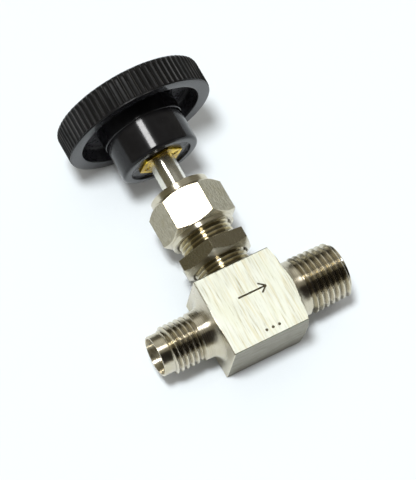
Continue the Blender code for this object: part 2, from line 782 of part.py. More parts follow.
def tip_thrust_ball():
    mesh = bpy.data.meshes.new("tip_thrust_ball")
    solid = bmesh.new()
    bmesh.ops.create_uvsphere(solid, u_segments=16, v_segments=10, radius=BALL_RADIUS)
    solid.to_mesh(mesh)
    solid.free()
    mesh.transform(Matrix.Translation((0, 0, TIP_BUTTON_TO_Z + GAP / 2 + BALL_RADIUS)))
    obj = bpy.data.objects.new("tip_thrust_ball", mesh)
    bpy.context.scene.collection.objects.link(obj)
    return obj


def tip_retainer():
    inner = STEM_FOOT_RADIUS + GAP
    profile = [
        (RETAINER_RADIUS, RETAINER_TO_Z),
        (RETAINER_RADIUS, RETAINER_FROM_Z),
        (RETAINER_HOLE_RADIUS, RETAINER_FROM_Z),
        (RETAINER_HOLE_RADIUS, RETAINER_FLOOR_Z),
        (inner, RETAINER_FLOOR_Z),
        (inner, RETAINER_TO_Z),
    ]
    return turned("tip_retainer", profile, closed=True)


def knob():
    """The moulded knob: hub, cavity with a stepped ring at the hub's root, rim and dished top."""
    rim_inside = RIM_RADIUS - FLUTE_DEPTH - BAND_LAP
    top_round_z = KNOB_TOP_Z - KNOB_TOP_FALL - KNOB_TOP_ROUND
    wall = CAVITY_RADIUS - CAVITY_DRAFT
    ring_root = HUB_RING_RADIUS + HUB_RING_DRAFT
    profile = [
        (0, KNOB_TOP_Z - TOP_DISH_DEPTH),
        (TOP_DISH_RADIUS - DISH_SLOPE, KNOB_TOP_Z - TOP_DISH_DEPTH),
        (TOP_DISH_RADIUS, KNOB_TOP_Z),
        *arc((rim_inside - KNOB_TOP_ROUND, top_round_z), KNOB_TOP_ROUND, 90, 0, 3),
        (rim_inside, RIM_Z + RIM_FOOT_EDGE),
        (rim_inside - RIM_FOOT_EDGE, RIM_Z),
        (CAVITY_RADIUS + CAVITY_EDGE, RIM_Z),
        (CAVITY_RADIUS, RIM_Z + CAVITY_EDGE),
        (wall, CAVITY_Z - CAVITY_CORNER),
        (wall - CAVITY_CORNER, CAVITY_Z),
        (ring_root + CAVITY_CORNER, CAVITY_Z),
        (ring_root, CAVITY_Z - CAVITY_CORNER),
        (HUB_RING_RADIUS, HUB_RING_Z + HUB_STEP),
        (HUB_RADIUS, HUB_RING_Z),
        *arc((HUB_RADIUS - HUB_END_ROUND, HUB_Z + HUB_END_ROUND), HUB_END_ROUND, 0, -90, 3),
        (HUB_RECESS_RADIUS + RECESS_DRAFT, HUB_Z),
        (HUB_RECESS_RADIUS, HUB_Z + HUB_RECESS_DEPTH),
        (0, HUB_Z + HUB_RECESS_DEPTH),
    ]
    body = turned("knob", profile, FINE_SEGMENTS)
    join(body, fluted_band())
    pocket = hex_prism(
        "insert_pocket",
        INSERT_FLATS + 2 * GAP,
        HUB_Z - OVERCUT,
        INSERT_TOP_Z + GAP,
        INSERT_TURN,
    )
    cut(body, pocket)
    return cut(body, screw_hole(HUB_RADIUS + OVERCUT))


def fluted_band():
    """A ring round the rim whose outside is cut by fine axial flutes."""
    inner = RIM_RADIUS - FLUTE_DEPTH - BAND_THICKNESS
    low = RIM_Z + RIM_FOOT_EDGE
    band = ring("fluted_band", inner, RIM_RADIUS, low, FLUTE_TOP_Z, 2 * FLUTE_COUNT)
    for vertex in band.data.vertices:
        radius = math.hypot(vertex.co.x, vertex.co.y)
        angle = math.atan2(vertex.co.y, vertex.co.x)
        in_groove = round(angle / (math.pi / FLUTE_COUNT)) % 2
        if in_groove and radius > (inner + RIM_RADIUS) / 2:
            vertex.co.x *= (RIM_RADIUS - FLUTE_DEPTH) / radius
            vertex.co.y *= (RIM_RADIUS - FLUTE_DEPTH) / radius
    return band


def screw_hole(reach):
    return cylinder_between(
        "screw_hole",
        (0, 0, SET_SCREW_Z),
        (0, reach, SET_SCREW_Z),
        SET_SCREW_RADIUS + GAP,
    )


def knob_insert():
    """The brass insert: hexagonal outside, blind hole for the stem, two stake marks on its face."""
    insert = hex_prism("knob_insert", INSERT_FLATS, HUB_Z, INSERT_TOP_Z, INSERT_TURN)
    hole = cylinder_between(
        "stem_hole",
        (0, 0, HUB_Z - OVERCUT),
        (0, 0, STEM_HOLE_TO_Z),
        STEM_HOLE_RADIUS,
        SEGMENTS,
    )
    cut(insert, hole)
    for side in (0, math.pi):
        turn = INSERT_TURN + side
        centre = Vector((math.cos(turn), math.sin(turn), 0)) * STAKE_RADIUS
        mark = cylinder_between(
            "stake_mark",
            centre + Z_AXIS * (HUB_Z - STAKE_SIZE),
            centre + Z_AXIS * (HUB_Z + STAKE_SIZE),
            STAKE_SIZE,
            8,
        )
        cut(insert, mark)
    return cut(insert, screw_hole(INSERT_FLATS))


def knob_set_screw():
    start = STEM_RADIUS + GAP
    end = start + SET_SCREW_LENGTH
    screw = cylinder_between(
        "knob_set_screw",
        (0, start, SET_SCREW_Z),
        (0, end, SET_SCREW_Z),
        SET_SCREW_RADIUS,
    )
    socket = cylinder_between(
        "hex_socket",
        (0, end - SET_SCREW_HEX_DEPTH, SET_SCREW_Z),
        (0, end + OVERCUT, SET_SCREW_Z),
        SET_SCREW_HEX_RADIUS,
        6,
    )
    return cut(screw, socket)


def finish(obj, material, collection):
    """Gives an object its material and its smooth shading, and files it in its collection."""
    for holder in list(obj.users_collection):
        holder.objects.unlink(obj)
    collection.objects.link(obj)
    obj.data.materials.clear()
    obj.data.materials.append(material)
    obj.data.shade_smooth()
    obj.data.set_sharp_from_angle(angle=math.radians(35))


def hang_on_axis(name, z, pieces):
    """Puts an empty on the stem axis, where the pieces turn or slide, and parents them to it."""
    axis = bpy.data.objects.new(name, None)
    axis.location = (0, 0, z)
    axis.empty_display_size = HUB_RADIUS
    bpy.data.collections["needle_valve"].objects.link(axis)
    for piece in pieces:
        obj = bpy.data.objects[piece]
        obj.data.transform(Matrix.Translation((0, 0, -z)))
        obj.parent = axis


def build():
    clear_scene()
    collection = new_collection("needle_valve")
    steel = ((0.62, 0.60, 0.55), 0.28, 1.0)
    brushed = ((0.80, 0.79, 0.72), 0.38, 1.0)
    ptfe = ((0.86, 0.86, 0.84), 0.55, 0.0)
    phenolic = ((0.012, 0.012, 0.013), 0.22, 0.0)
    brass = ((0.78, 0.58, 0.18), 0.30, 1.0)
    alloy = ((0.10, 0.10, 0.11), 0.40, 1.0)

    rings, packing_top_z = packing_set()
    pieces = [
        (valve_body(), brushed),
        (bonnet(), steel),
        (bonnet_seal_ring(), ptfe),
        (bonnet_lock_pin(), steel),
        (panel_nut(), steel),
        (packing_nut(), steel),
        (packing_gland(packing_top_z), steel),
        (stem(), steel),
        (needle_tip(), steel),
        (tip_thrust_ball(), steel),
        (tip_retainer(), steel),
        (knob(), phenolic),
        (knob_insert(), brass),
        (knob_set_screw(), alloy),
    ]
    pieces += [(packing_ring, steel if number == 0 else ptfe) for number, packing_ring in enumerate(rings)]
    for obj, (colour, roughness, metallic) in pieces:
        material = new_material(obj.name + "_material", colour, roughness, metallic)
        finish(obj, material, collection)
    hang_on_axis("panel_nut_axis", PANEL_NUT_FROM_Z, ["panel_nut"])
    hang_on_axis("gland_axis", PACKING_NUT_FROM_Z, ["packing_gland"])
    hang_on_axis("packing_nut_axis", PACKING_NUT_FROM_Z, ["packing_nut"])
    hang_on_axis("needle_axis", SEAT_Z, ["needle_tip", "tip_thrust_ball"])
    turning = ["stem", "tip_retainer", "knob", "knob_insert", "knob_set_screw"]
    hang_on_axis("stem_axis", STEM_FOOT_Z, turning)


build()
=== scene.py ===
"""Looks of the needle valve: fine machined meshes, procedural metals and plastic, studio light."""

import math

import bmesh
import bpy
from mathutils import Matrix, Vector


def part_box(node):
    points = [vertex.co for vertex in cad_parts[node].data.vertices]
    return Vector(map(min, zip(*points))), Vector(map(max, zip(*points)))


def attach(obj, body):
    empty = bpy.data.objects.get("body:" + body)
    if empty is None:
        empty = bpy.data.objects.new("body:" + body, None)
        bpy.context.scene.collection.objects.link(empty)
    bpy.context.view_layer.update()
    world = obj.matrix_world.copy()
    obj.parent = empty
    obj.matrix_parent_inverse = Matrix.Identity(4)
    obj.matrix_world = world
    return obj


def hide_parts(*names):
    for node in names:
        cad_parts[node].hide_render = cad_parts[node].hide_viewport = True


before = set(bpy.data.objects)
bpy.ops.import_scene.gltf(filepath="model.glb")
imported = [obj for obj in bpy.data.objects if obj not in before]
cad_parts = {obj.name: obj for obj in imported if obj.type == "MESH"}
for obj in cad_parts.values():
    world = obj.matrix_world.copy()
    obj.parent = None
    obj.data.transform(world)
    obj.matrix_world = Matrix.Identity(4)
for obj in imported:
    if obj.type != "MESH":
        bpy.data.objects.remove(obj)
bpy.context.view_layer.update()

MM = 0.001
INCH = 25.4 * MM
V_THREAD_DEPTH = 0.6134  # of a 60 degree thread, in pitches

# Places that the frame gives
BODY_LOW, BODY_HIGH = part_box("valve_body")
BONNET_LOW, BONNET_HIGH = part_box("bonnet")
PANEL_LOW, PANEL_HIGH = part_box("panel_nut")
PACKING_LOW, PACKING_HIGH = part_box("packing_nut")
STEM_LOW, STEM_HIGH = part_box("stem")
KNOB_LOW, KNOB_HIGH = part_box("knob")
INSERT_LOW, INSERT_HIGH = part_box("knob_insert")
SCREW_LOW, SCREW_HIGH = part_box("knob_set_screw")
PIN_LOW, PIN_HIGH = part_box("bonnet_lock_pin")
BLOCK_TOP = BODY_HIGH.z
FLOW_Z = BLOCK_TOP / 2
TUBE_END_X = -BODY_LOW.x
PIPE_END_X = BODY_HIGH.x
BLOCK_HALF_Y = BODY_HIGH.y
HUB_Z = KNOB_LOW.z
RIM_RADIUS = KNOB_HIGH.x

# Block
BLOCK_HALF_X = 9.75 * MM
BLOCK_EDGE = 0.22 * MM
FACING_RADIUS = 9.2 * MM
FACING_DEPTH = 1.1 * MM
CORNER_RADIUS = 13.0 * MM

# Marks on the block's front
MARK_LIFT = 0.03 * MM  # how far the strokes' axes lie outside the face
MARK_DEPTH = 0.3 * MM  # no mark is deeper
STROKE_RADIUS = 0.21 * MM
ARROW_Z = FLOW_Z + 1.7 * MM
ARROW_TAIL_X = -2.7 * MM
ARROW_TIP_X = 4.3 * MM
ARROW_BARB_LENGTH = 1.5 * MM
ARROW_BARB_RISE = 1.2 * MM
DOT_COUNT = 3
DOT_RADIUS = 0.34 * MM
DOT_SPACING = 1.6 * MM
DOT_FIRST_X = -0.6 * MM
DOT_Z = FLOW_Z - 7.5 * MM

# Tube end
TUBE_THREAD_RADIUS = 7 / 16 * INCH / 2
TUBE_PITCH = INCH / 20
TUBE_THREAD_FROM = 14.0 * MM
TUBE_THREAD_TO = 21.1 * MM
TUBE_THREAD_START = 0.2
TUBE_NOSE_RADIUS = 4.75 * MM
TUBE_NECK_RADIUS = 5.65 * MM
TUBE_FLARE = 2.4 * MM
TUBE_MOUTH_RADIUS = 4.3 * MM
TUBE_MOUTH_DEPTH = 3.4 * MM
TUBE_SOCKET_RADIUS = 3.25 * MM
TUBE_SOCKET_TO = 15.0 * MM
NOSE_STEP = 0.03 * MM  # how far the nose stands above the thread's root

# Pipe end
PIPE_THREAD_RADIUS = 6.84 * MM
PIPE_PITCH = INCH / 18
PIPE_TAPER = 1 / 32
PIPE_DEPTH = 0.7 * PIPE_PITCH
PIPE_THREAD_FROM = 13.0 * MM
PIPE_THREAD_START = 0.3
PIPE_NECK_RADIUS = 6.6 * MM
PIPE_FLARE = 2.2 * MM
PIPE_BORE_RADIUS = 3.6 * MM
PIPE_BORE_TO = 13.5 * MM
BORE_EDGE = 0.25 * MM

# Inside the block
PASSAGE_RADIUS = 1.7 * MM
PASSAGE_RISE = 3.2 * MM
SEAT_RADIUS = 2.0 * MM
SEAT_Z = FLOW_Z + 1.2 * MM
SEAT_BEVEL = 0.35 * MM
SEAT_BORE_TO = FLOW_Z - PASSAGE_RISE - 1.4 * MM
CHAMBER_RADIUS = 4.4 * MM
CHAMBER_TOP = FLOW_Z + 4.5 * MM
BONNET_BORE_RADIUS = 5.6 * MM

# Bonnet
BONNET_RADIUS = BONNET_HIGH.x
FINE_PITCH = INCH / 24
BONNET_FOOT_RADIUS = 5.5 * MM
PACKING_RADIUS = 4.6 * MM
PACKING_FLOOR = FLOW_Z + 19.0 * MM
STEM_THREAD_BORE = 4.08 * MM

# Nuts
HEX_FLATS = 0.625 * INCH
HEX_CORNER = HEX_FLATS / 2 / math.cos(math.radians(30))
NUT_BORE = BONNET_RADIUS + 0.1 * MM
PANEL_NUT_TURN = math.radians(15.8)
PANEL_NUT_CHAMFER = 7.0 * MM
PACKING_NUT_TURN = math.radians(-15.5)
PACKING_BAND_RADIUS = 7.15 * MM
PACKING_COLLAR_RADIUS = 7.65 * MM
PACKING_BAND_HEIGHT = 1.55 * MM
PACKING_COLLAR_HEIGHT = 1.1 * MM
PACKING_ROOF = 3.5 * MM
CHAMFER_SLOPE = math.tan(math.radians(33))
NUT_ARRIS = 0.1 * MM
PANEL_BORE_EDGE = 0.35 * MM
PACKING_BORE_EDGE = 0.3 * MM
PACKING_STEM_EDGE = 0.25 * MM
PACKING_STEM_PLAY = 0.25 * MM

# Stem
STEM_RADIUS = 3.05 * MM
STEM_THREAD_RADIUS = 5 / 16 * INCH / 2
STEM_FOOT_RADIUS = 2.75 * MM
STEM_SOCKET_RADIUS = 2.15 * MM
STEM_SOCKET_DEPTH = 2.8 * MM
STEM_END_CHAMFER = 0.4 * MM
STEM_THREAD_RUNOUT = 0.3 * MM
STEM_THREAD_FROM = STEM_LOW.z + 2.6 * MM
STEM_THREAD_TO = STEM_LOW.z + 6.95 * MM

# Knob
HUB_RADIUS = 9.5 * MM
HUB_RECESS_RADIUS = 7.5 * MM
HUB_RECESS_DEPTH = 0.6 * MM
HUB_RING_Z = HUB_Z + 8.4 * MM
HUB_RING_RADIUS = 9.65 * MM
CAVITY_RADIUS = 14.8 * MM
CAVITY_Z = HUB_Z + 13.6 * MM
RIM_Z = HUB_Z + 9.8 * MM
TOP_ROUND = 1.3 * MM
TOP_DISH_RADIUS = 10.5 * MM
TOP_DISH_DEPTH = 0.7 * MM
TOP_FALL = 0.2 * MM  # from the dish's edge out to the shoulder
FLUTE_COUNT = 80
FLUTE_DEPTH = 0.3 * MM
FLUTE_SAMPLES = 8
INSERT_FLATS = 0.375 * INCH
INSERT_TURN = math.radians(-17.6)
INSERT_EDGE = 0.12 * MM
STAKE_FROM_AXIS = 3.75 * MM
STAKE_OUTER_RADIUS = 0.65 * MM
STAKE_INNER_RADIUS = 0.25 * MM
STAKE_DEPTH = 0.35 * MM
SCREW_PITCH = 0.5 * MM
SCREW_THREAD_DEPTH = 0.28 * MM
SCREW_END = 0.02 * MM
SCREW_SOCKET_FLATS = 1.4 * MM
SCREW_SOCKET_DEPTH = 1.4 * MM

# Small sizes that many pieces share
GAP = 0.05 * MM  # play between two pieces
OVERCUT = 1.0 * MM  # how far a cutter reaches past what it cuts
HAIR = 0.01 * MM  # keeps two surfaces from lying in one plane
ARRIS = 0.07 * MM  # rounding of a sharp machined edge
FINE_ARRIS = 0.05 * MM

ROUND = 128  # segments round a turned surface
FLARE_STEPS = 8
SHARP_ANGLE = math.radians(28)
LARGE_FACE = 6 * MM**2

# Camera, light and floor
CAMERA_AZIMUTH = -16.57
CAMERA_ELEVATION = -15.99
CAMERA_ROLL = 30.03
CAMERA_DISTANCE = 0.669
CAMERA_LENS = 225
CAMERA_AIM = Vector((0.0002, -0.0001, 0.02845))
LAMP_DIRECTION = Vector((-0.25, -0.945, 0.22))
LAMP_POWER = 1.6
LAMP_WIDTH = 15  # degrees across, seen from the valve
FLOOR_LAMP_DIRECTION = Vector((-0.225, -0.96, 0.09))
FLOOR_LAMP_POWER = 4.6
FLOOR_LAMP_WIDTH = 12
BACKDROP = (0.913, 0.982, 1.0)
FLOOR_PAPER = (0.455, 0.494, 0.518)
FLOOR_GLOW = (0.205, 0.205, 0.205)
FLOOR_HALF_SIZE = 1.5
FLOOR_GAP = 0.15 * MM  # how far the sheet lies under the valve
SHADOW_REACH = 0.02
CLIP_RANGE = (0.05, 20)


# ---------------------------------------------------------------- mesh helpers


def new_object(name, mesh):
    obj = bpy.data.objects.new(name, mesh)
    bpy.context.scene.collection.objects.link(obj)
    return obj


def eased(points, steps=4):
    """The outline with its corners rounded. A point is (r, z) or (r, z, rounding)."""
    outline = [points[0][:2]]
    for before, point, after in zip(points, points[1:], points[2:]):
        if len(point) == 2:
            outline.append(point)
            continue
        corner = Vector(point[:2])
        towards_before = Vector(before[:2]) - corner
        towards_after = Vector(after[:2]) - corner
        half_turn = towards_before.angle(towards_after) / 2
        reach = min(
            point[2] / math.tan(half_turn),
            0.45 * towards_before.length,
            0.45 * towards_after.length,
        )
        start = corner + towards_before.normalized() * reach
        end = corner + towards_after.normalized() * reach
        for step in range(steps + 1):
            s = step / steps
            spot = start * (1 - s) ** 2 + corner * 2 * s * (1 - s) + end * s**2
            outline.append((spot.x, spot.y))
    outline.append(points[-1][:2])
    return outline


def turned_rows(outline, segments=ROUND):
    return [[(r, z)] * (segments + 1) for r, z in outline]


def thread_rows(low_z, high_z, radius, depth, pitch, taper=0.0, start=0.0, segments=ROUND):
    """Rows of a right-hand V thread from low_z up, round at the root radius at both ends.

    Each row is one turn of the helix, shifted up by start pitches. What would pass an end is
    pressed flat onto it.
    """
    fade = 0.4  # pitches over which the crest rises at each end
    crest = 0.07  # half widths of the crest and root flats, in pitches
    root = 0.05
    rise = (
        (root, 0.0),
        (root + 0.06, 0.10),
        (0.25, 0.45),
        (0.45 - crest, 0.90),
        (0.5 - crest, 1.0),
    )
    fall = [(1 - along, height) for along, height in reversed(rise)]
    levels = [(0.0, 0.0), *rise, *fall]
    turns = math.ceil((high_z - low_z) / pitch) + 3
    rows = []
    for index in range(turns * len(levels)):
        tooth, step = divmod(index, len(levels))
        along, height = levels[step]
        row = []
        for segment in range(segments + 1):
            z = low_z + pitch * (tooth - 2 + along + start + segment / segments)
            z = min(max(z, low_z), high_z)
            strength = min(1.0, (z - low_z) / (fade * pitch), (high_z - z) / (fade * pitch))
            root_radius = radius - taper * (z - low_z) - depth
            row.append((root_radius + depth * height * strength, z))
        rows.append(row)
    return rows


def spin(name, rows):
    """A closed mesh from rows of (r, z) points that go once round Z.

    Rows may hold different counts of points, where one count is a multiple of the other.
    """
    solid = bmesh.new()
    rings = []
    for row in rows:
        steps = len(row) - 1
        ring = []
        for index, (r, z) in enumerate(row):
            angle = 2 * math.pi * index / steps
            ring.append(solid.verts.new((r * math.cos(angle), r * math.sin(angle), z)))
        rings.append(ring)
    for first, second in zip(rings, rings[1:]):
        cells = min(len(first), len(second)) - 1
        first_step = (len(first) - 1) // cells
        second_step = (len(second) - 1) // cells
        for cell in range(cells):
            near = first[cell * first_step : (cell + 1) * first_step + 1]
            far = second[cell * second_step : (cell + 1) * second_step + 1]
            solid.faces.new(near + far[::-1])
    bmesh.ops.remove_doubles(solid, verts=solid.verts, dist=1e-6)
    bmesh.ops.dissolve_degenerate(solid, dist=1e-6, edges=solid.edges)
    open_edges = [edge for edge in solid.edges if edge.is_boundary]
    bmesh.ops.holes_fill(solid, edges=open_edges, sides=0)
    bmesh.ops.recalc_face_normals(solid, faces=solid.faces)
    mesh = bpy.data.meshes.new(name)
    solid.to_mesh(mesh)
    solid.free()
    return new_object(name, mesh)


def lathe(name, points, segments=ROUND, closed=False):
    """A turned piece. A closed outline is a ring's section that returns to its start."""
    outline = eased(points)
    if closed:
        outline.append(outline[0])
    return spin(name, turned_rows(outline, segments))


def bake(obj):
    """Applies the object's modifiers to its mesh."""
    bpy.context.view_layer.update()
    graph = bpy.context.evaluated_depsgraph_get()
    mesh = bpy.data.meshes.new_from_object(obj.evaluated_get(graph))
    obj.modifiers.clear()
    obj.data = mesh
    return obj


def combine(obj, other, operation):
    boolean = obj.modifiers.new(operation.lower(), "BOOLEAN")
    boolean.operation = operation
    boolean.solver = "EXACT"
    boolean.object = other
    bake(obj)
    bpy.data.objects.remove(other, do_unlink=True)
    return obj


def soften(obj, width=ARRIS, angle=20, segments=2):
    """Rounds the object's sharp edges."""
    bevel = obj.modifiers.new("soften", "BEVEL")
    bevel.width = width
    bevel.segments = segments
    bevel.limit_method = "ANGLE"
    bevel.angle_limit = math.radians(angle)
    bevel.use_clamp_overlap = True
    return bake(obj)


def bar(name, start, end, radius, segments=24):
    """A round bar from one point to another."""
    start, end = Vector(start), Vector(end)
    solid = bmesh.new()
    bmesh.ops.create_cone(
        solid,
        cap_ends=True,
        segments=segments,
        radius1=radius,
        radius2=radius,
        depth=(end - start).length,
    )
    mesh = bpy.data.meshes.new(name)
    solid.to_mesh(mesh)
    solid.free()
    turn = (end - start).to_track_quat("Z", "Y").to_matrix().to_4x4()
    mesh.transform(Matrix.Translation((start + end) / 2) @ turn)
    return new_object(name, mesh)


def slab(name, half_size):
    """A box round the flow axis."""
    solid = bmesh.new()
    bmesh.ops.create_cube(solid, size=2)
    mesh = bpy.data.meshes.new(name)
    solid.to_mesh(mesh)
    solid.free()
    mesh.transform(Matrix.Translation((0, 0, FLOW_Z)) @ Matrix.Diagonal((*half_size, 1)))
    return new_object(name, mesh)


def hex_bar(name, flats, low_z, high_z, turn):
    """A hexagonal bar along Z with one corner at the angle turn from +X."""
    corner = flats / 2 / math.cos(math.radians(30))
    obj = bar(name, (0, 0, low_z), (0, 0, high_z), corner, 6)
    first = obj.data.vertices[0].co
    obj.data.transform(Matrix.Rotation(turn - math.atan2(first.y, first.x), 4, "Z"))
    return obj


def along_x(obj, sign):
    """Lays an object made about +Z on the flow axis, its +Z along +X or -X."""
    turn = Matrix.Rotation(math.radians(90 * sign), 4, "Y")
    obj.data.transform(Matrix.Translation((0, 0, FLOW_Z)) @ turn)
    return obj


def smooth(obj, angle=SHARP_ANGLE):
    """Smooth shading with sharp corners, where each large face stays flat up to its edges."""
    obj.data.shade_smooth()
    obj.data.set_sharp_from_angle(angle=angle)
    for face in obj.data.polygons:
        face.use_smooth = face.area < LARGE_FACE


# ---------------------------------------------------------------- shading helpers


class Shading:
    """A material and short calls for the nodes that it is made of."""

    def __init__(self, name):
        self.material = bpy.data.materials.new(name)
        self.material.use_nodes = True
        self.tree = self.material.node_tree
        self.surface = self.tree.nodes["Principled BSDF"]
        self.point = self.add("ShaderNodeTexCoord").outputs["Object"]

    def add(self, kind, inputs=None, **settings):
        node = self.tree.nodes.new(kind)
        for name, value in settings.items():
            setattr(node, name, value)
        for name, value in (inputs or {}).items():
            self.feed(node.inputs[name], value)
        return node

    def feed(self, socket, value):
        if isinstance(value, bpy.types.NodeSocket):
            self.tree.links.new(value, socket)
        else:
            socket.default_value = value

    def noise(self, per_metre, detail=2.0, roughness=0.5):
        """Noise whose cells per metre are given for X, Y and Z."""
        scaled = self.add("ShaderNodeVectorMath", {0: self.point, 1: per_metre}, operation="MULTIPLY")
        texture = self.add(
            "ShaderNodeTexNoise",
            {"Vector": scaled.outputs[0], "Scale": 1.0, "Detail": detail, "Roughness": roughness},
        )
        return texture.outputs["Fac"]

    def remap(self, value, low, high, to_low=0.0, to_high=1.0):
        inputs = {
            "Value": value,
            "From Min": low,
            "From Max": high,
            "To Min": to_low,
            "To Max": to_high,
        }
        node = self.add("ShaderNodeMapRange", inputs, interpolation_type="SMOOTHSTEP")
        return node.outputs["Result"]

    def mix(self, factor, first, second):
        node = self.add("ShaderNodeMix", data_type="RGBA")
        self.feed(node.inputs[0], factor)
        self.feed(node.inputs[6], first)
        self.feed(node.inputs[7], second)
        return node.outputs[2]

    def maths(self, operation, first, second=0.0):
        return self.add("ShaderNodeMath", {0: first, 1: second}, operation=operation).outputs[0]

    def bump(self, height, distance, normal=None):
        inputs = {"Height": height, "Distance": distance, "Strength": 1.0}
        if normal is not None:
            inputs["Normal"] = normal
        return self.add("ShaderNodeBump", inputs).outputs["Normal"]

    def around(self, axis):
        """The direction that runs round an axis of the object."""
        return self.add("ShaderNodeTangent", direction_type="RADIAL", axis=axis).outputs[0]

    def set(self, **values):
        for name, value in values.items():
            wanted = name.replace("_", " ")
            socket = next(s for s in self.surface.inputs if s.name.lower() == wanted)
            self.feed(socket, value)


def colour(red, green, blue):
    return (red, green, blue, 1.0)


def turned_steel(name, axis, base=(0.66, 0.61, 0.50), roughness=0.29, painted_root_shade=0.0):
    """Stainless steel off a lathe: it mirrors crisply round the axis and smears along it.

    A share above zero paints shade into the bottoms of thread grooves, where the grooves shade
    themselves.
    """
    s = Shading(name)
    across = 25.0
    fine = {"X": (7000.0, across, across), "Z": (across, across, 7000.0)}[axis]
    tool_lines = s.noise(fine, detail=3.0, roughness=0.7)
    patches = s.noise((220.0, 220.0, 220.0), detail=3.0)
    shade = s.mix(
        s.remap(patches, 0.35, 0.75, 0.0, 0.6),
        colour(*base),
        colour(base[0] * 0.86, base[1] * 0.84, base[2] * 0.70),
    )
    # painted shade: pointiness darkens the thread roots towards a near-black colour
    hollow = s.add("ShaderNodeNewGeometry").outputs["Pointiness"]
    root_shade_mask = s.remap(hollow, 0.45, 0.51, painted_root_shade, 0.0)
    s.set(
        base_color=s.mix(root_shade_mask, shade, colour(0.05, 0.04, 0.025)),
        metallic=1.0,
        roughness=s.remap(tool_lines, 0.3, 0.7, roughness * 0.9, roughness * 1.15),
        anisotropic=0.97,
        anisotropic_rotation=0.25,
        tangent=s.around(axis),
        normal=s.bump(tool_lines, 0.001 * MM),
    )
    return s.material


def brushed_bar():
    """The block's ground faces: fine lines along the stem, near-white with straw-coloured hairs."""
    s = Shading("brushed_bar")
    hairs = s.noise((4200.0, 4200.0, 190.0), detail=3.0, roughness=0.75)
    streaks = s.noise((2600.0, 2600.0, 130.0), detail=3.0)
    patches = s.noise((260.0, 260.0, 140.0), detail=2.0)
    pale = s.mix(s.remap(streaks, 0.48, 0.66), colour(0.49, 0.505, 0.445), colour(0.46, 0.445, 0.34))
    shade = s.mix(s.remap(patches, 0.45, 0.75, 0.0, 0.5), pale, colour(0.46, 0.47, 0.37))
    shade = s.mix(s.remap(hairs, 0.52, 0.72, 0.0, 0.6), shade, colour(0.27, 0.245, 0.175))
    s.set(
        base_color=shade,
        metallic=1.0,
        roughness=s.remap(hairs, 0.3, 0.7, 0.42, 0.52),
        anisotropic=0.9,
        tangent=s.around("Z"),
        normal=s.bump(hairs, 0.002 * MM),
    )
    return s.material


def sawn_and_shaded_steel():
    """The block's top and underside: grey with fine saw lines; the dark base is partly painted shade
    for the underside, which mirrors the floor in the valve's shadow.
    """
    s = Shading("sawn_and_shaded_steel")
    lines = s.noise((180.0, 2600.0, 180.0), detail=3.0, roughness=0.7)
    patches = s.noise((300.0, 300.0, 300.0), detail=3.0)
    # partly painted shade: dark grey-brown base colours for the top and underside
    shade = s.mix(s.remap(lines, 0.35, 0.7), colour(0.285, 0.265, 0.21), colour(0.215, 0.20, 0.15))
    s.set(
        base_color=s.mix(s.remap(patches, 0.45, 0.75, 0.0, 0.4), shade, colour(0.18, 0.165, 0.12)),
        metallic=1.0,
        roughness=s.remap(lines, 0.3, 0.7, 0.34, 0.46),
        normal=s.bump(lines, 0.004 * MM),
    )
    return s.material


def stamped_steel():
    """The bottoms of the stamped marks, darker than the face round them, with a fine grain."""
    s = Shading("stamped_steel")
    grain = s.noise((4000.0, 4000.0, 4000.0), detail=2.0)
    s.set(
        base_color=s.mix(grain, colour(0.13, 0.11, 0.07), colour(0.23, 0.20, 0.14)),
        metallic=1.0,
        roughness=0.45,
    )
    return s.material


def hex_steel():
    """The nuts' flats: drawn hexagon bar with a fine grey grain and a few rub marks."""
    s = Shading("hex_steel")
    grain = s.noise((2600.0, 2600.0, 900.0), detail=4.0, roughness=0.7)
    rubs = s.noise((340.0, 340.0, 420.0), detail=3.0)
    shade = s.mix(s.remap(grain, 0.35, 0.7), colour(0.39, 0.355, 0.265), colour(0.27, 0.24, 0.17))
    shade = s.mix(s.remap(rubs, 0.5, 0.7, 0.0, 0.5), shade, colour(0.30, 0.26, 0.165))
    s.set(
        base_color=shade,
        metallic=1.0,
        roughness=s.remap(grain, 0.3, 0.7, 0.24, 0.36),
        normal=s.bump(grain, 0.002 * MM),
    )
    return s.material


def phenolic(name, roughness, gloss, base, wear_and_sheen=0.0):
    """Black moulding with a faint bloom, fine scuffs and a few specks of dust.

    A share above zero lightens the sharp crests, more in some places than in others: partly wear where
    hands rub, partly a painted highlight along the crests.
    """
    s = Shading(name)
    bloom = s.noise((160.0, 160.0, 160.0), detail=3.0)
    scuffs = s.noise((900.0, 900.0, 2600.0), detail=4.0, roughness=0.7)
    dust = s.noise((4200.0, 4200.0, 4200.0), detail=1.0)
    dark = colour(base, base * 0.96, base * 1.12)
    light = colour(base * 1.7, base * 1.65, base * 1.8)
    body = s.mix(s.remap(bloom, 0.4, 0.7), dark, light)
    # partly wear, partly painted highlight: the crests' colour lightens to grey
    crest = s.add("ShaderNodeNewGeometry").outputs["Pointiness"]
    rubbed_and_sheen = s.noise((330.0, 330.0, 160.0), detail=3.0)
    worn_and_sheen = s.maths("MULTIPLY", s.remap(crest, 0.51, 0.58, 0.0, wear_and_sheen), s.remap(rubbed_and_sheen, 0.35, 0.65))
    body = s.mix(worn_and_sheen, body, colour(0.14, 0.135, 0.13))
    s.set(
        base_color=s.mix(s.remap(dust, 0.80, 0.86, 0.0, 0.5), body, colour(0.16, 0.15, 0.13)),
        roughness=s.remap(scuffs, 0.35, 0.75, roughness * 0.85, roughness * 1.25),
        specular_ior_level=gloss,
        normal=s.bump(scuffs, 0.0008 * MM),
    )
    return s.material


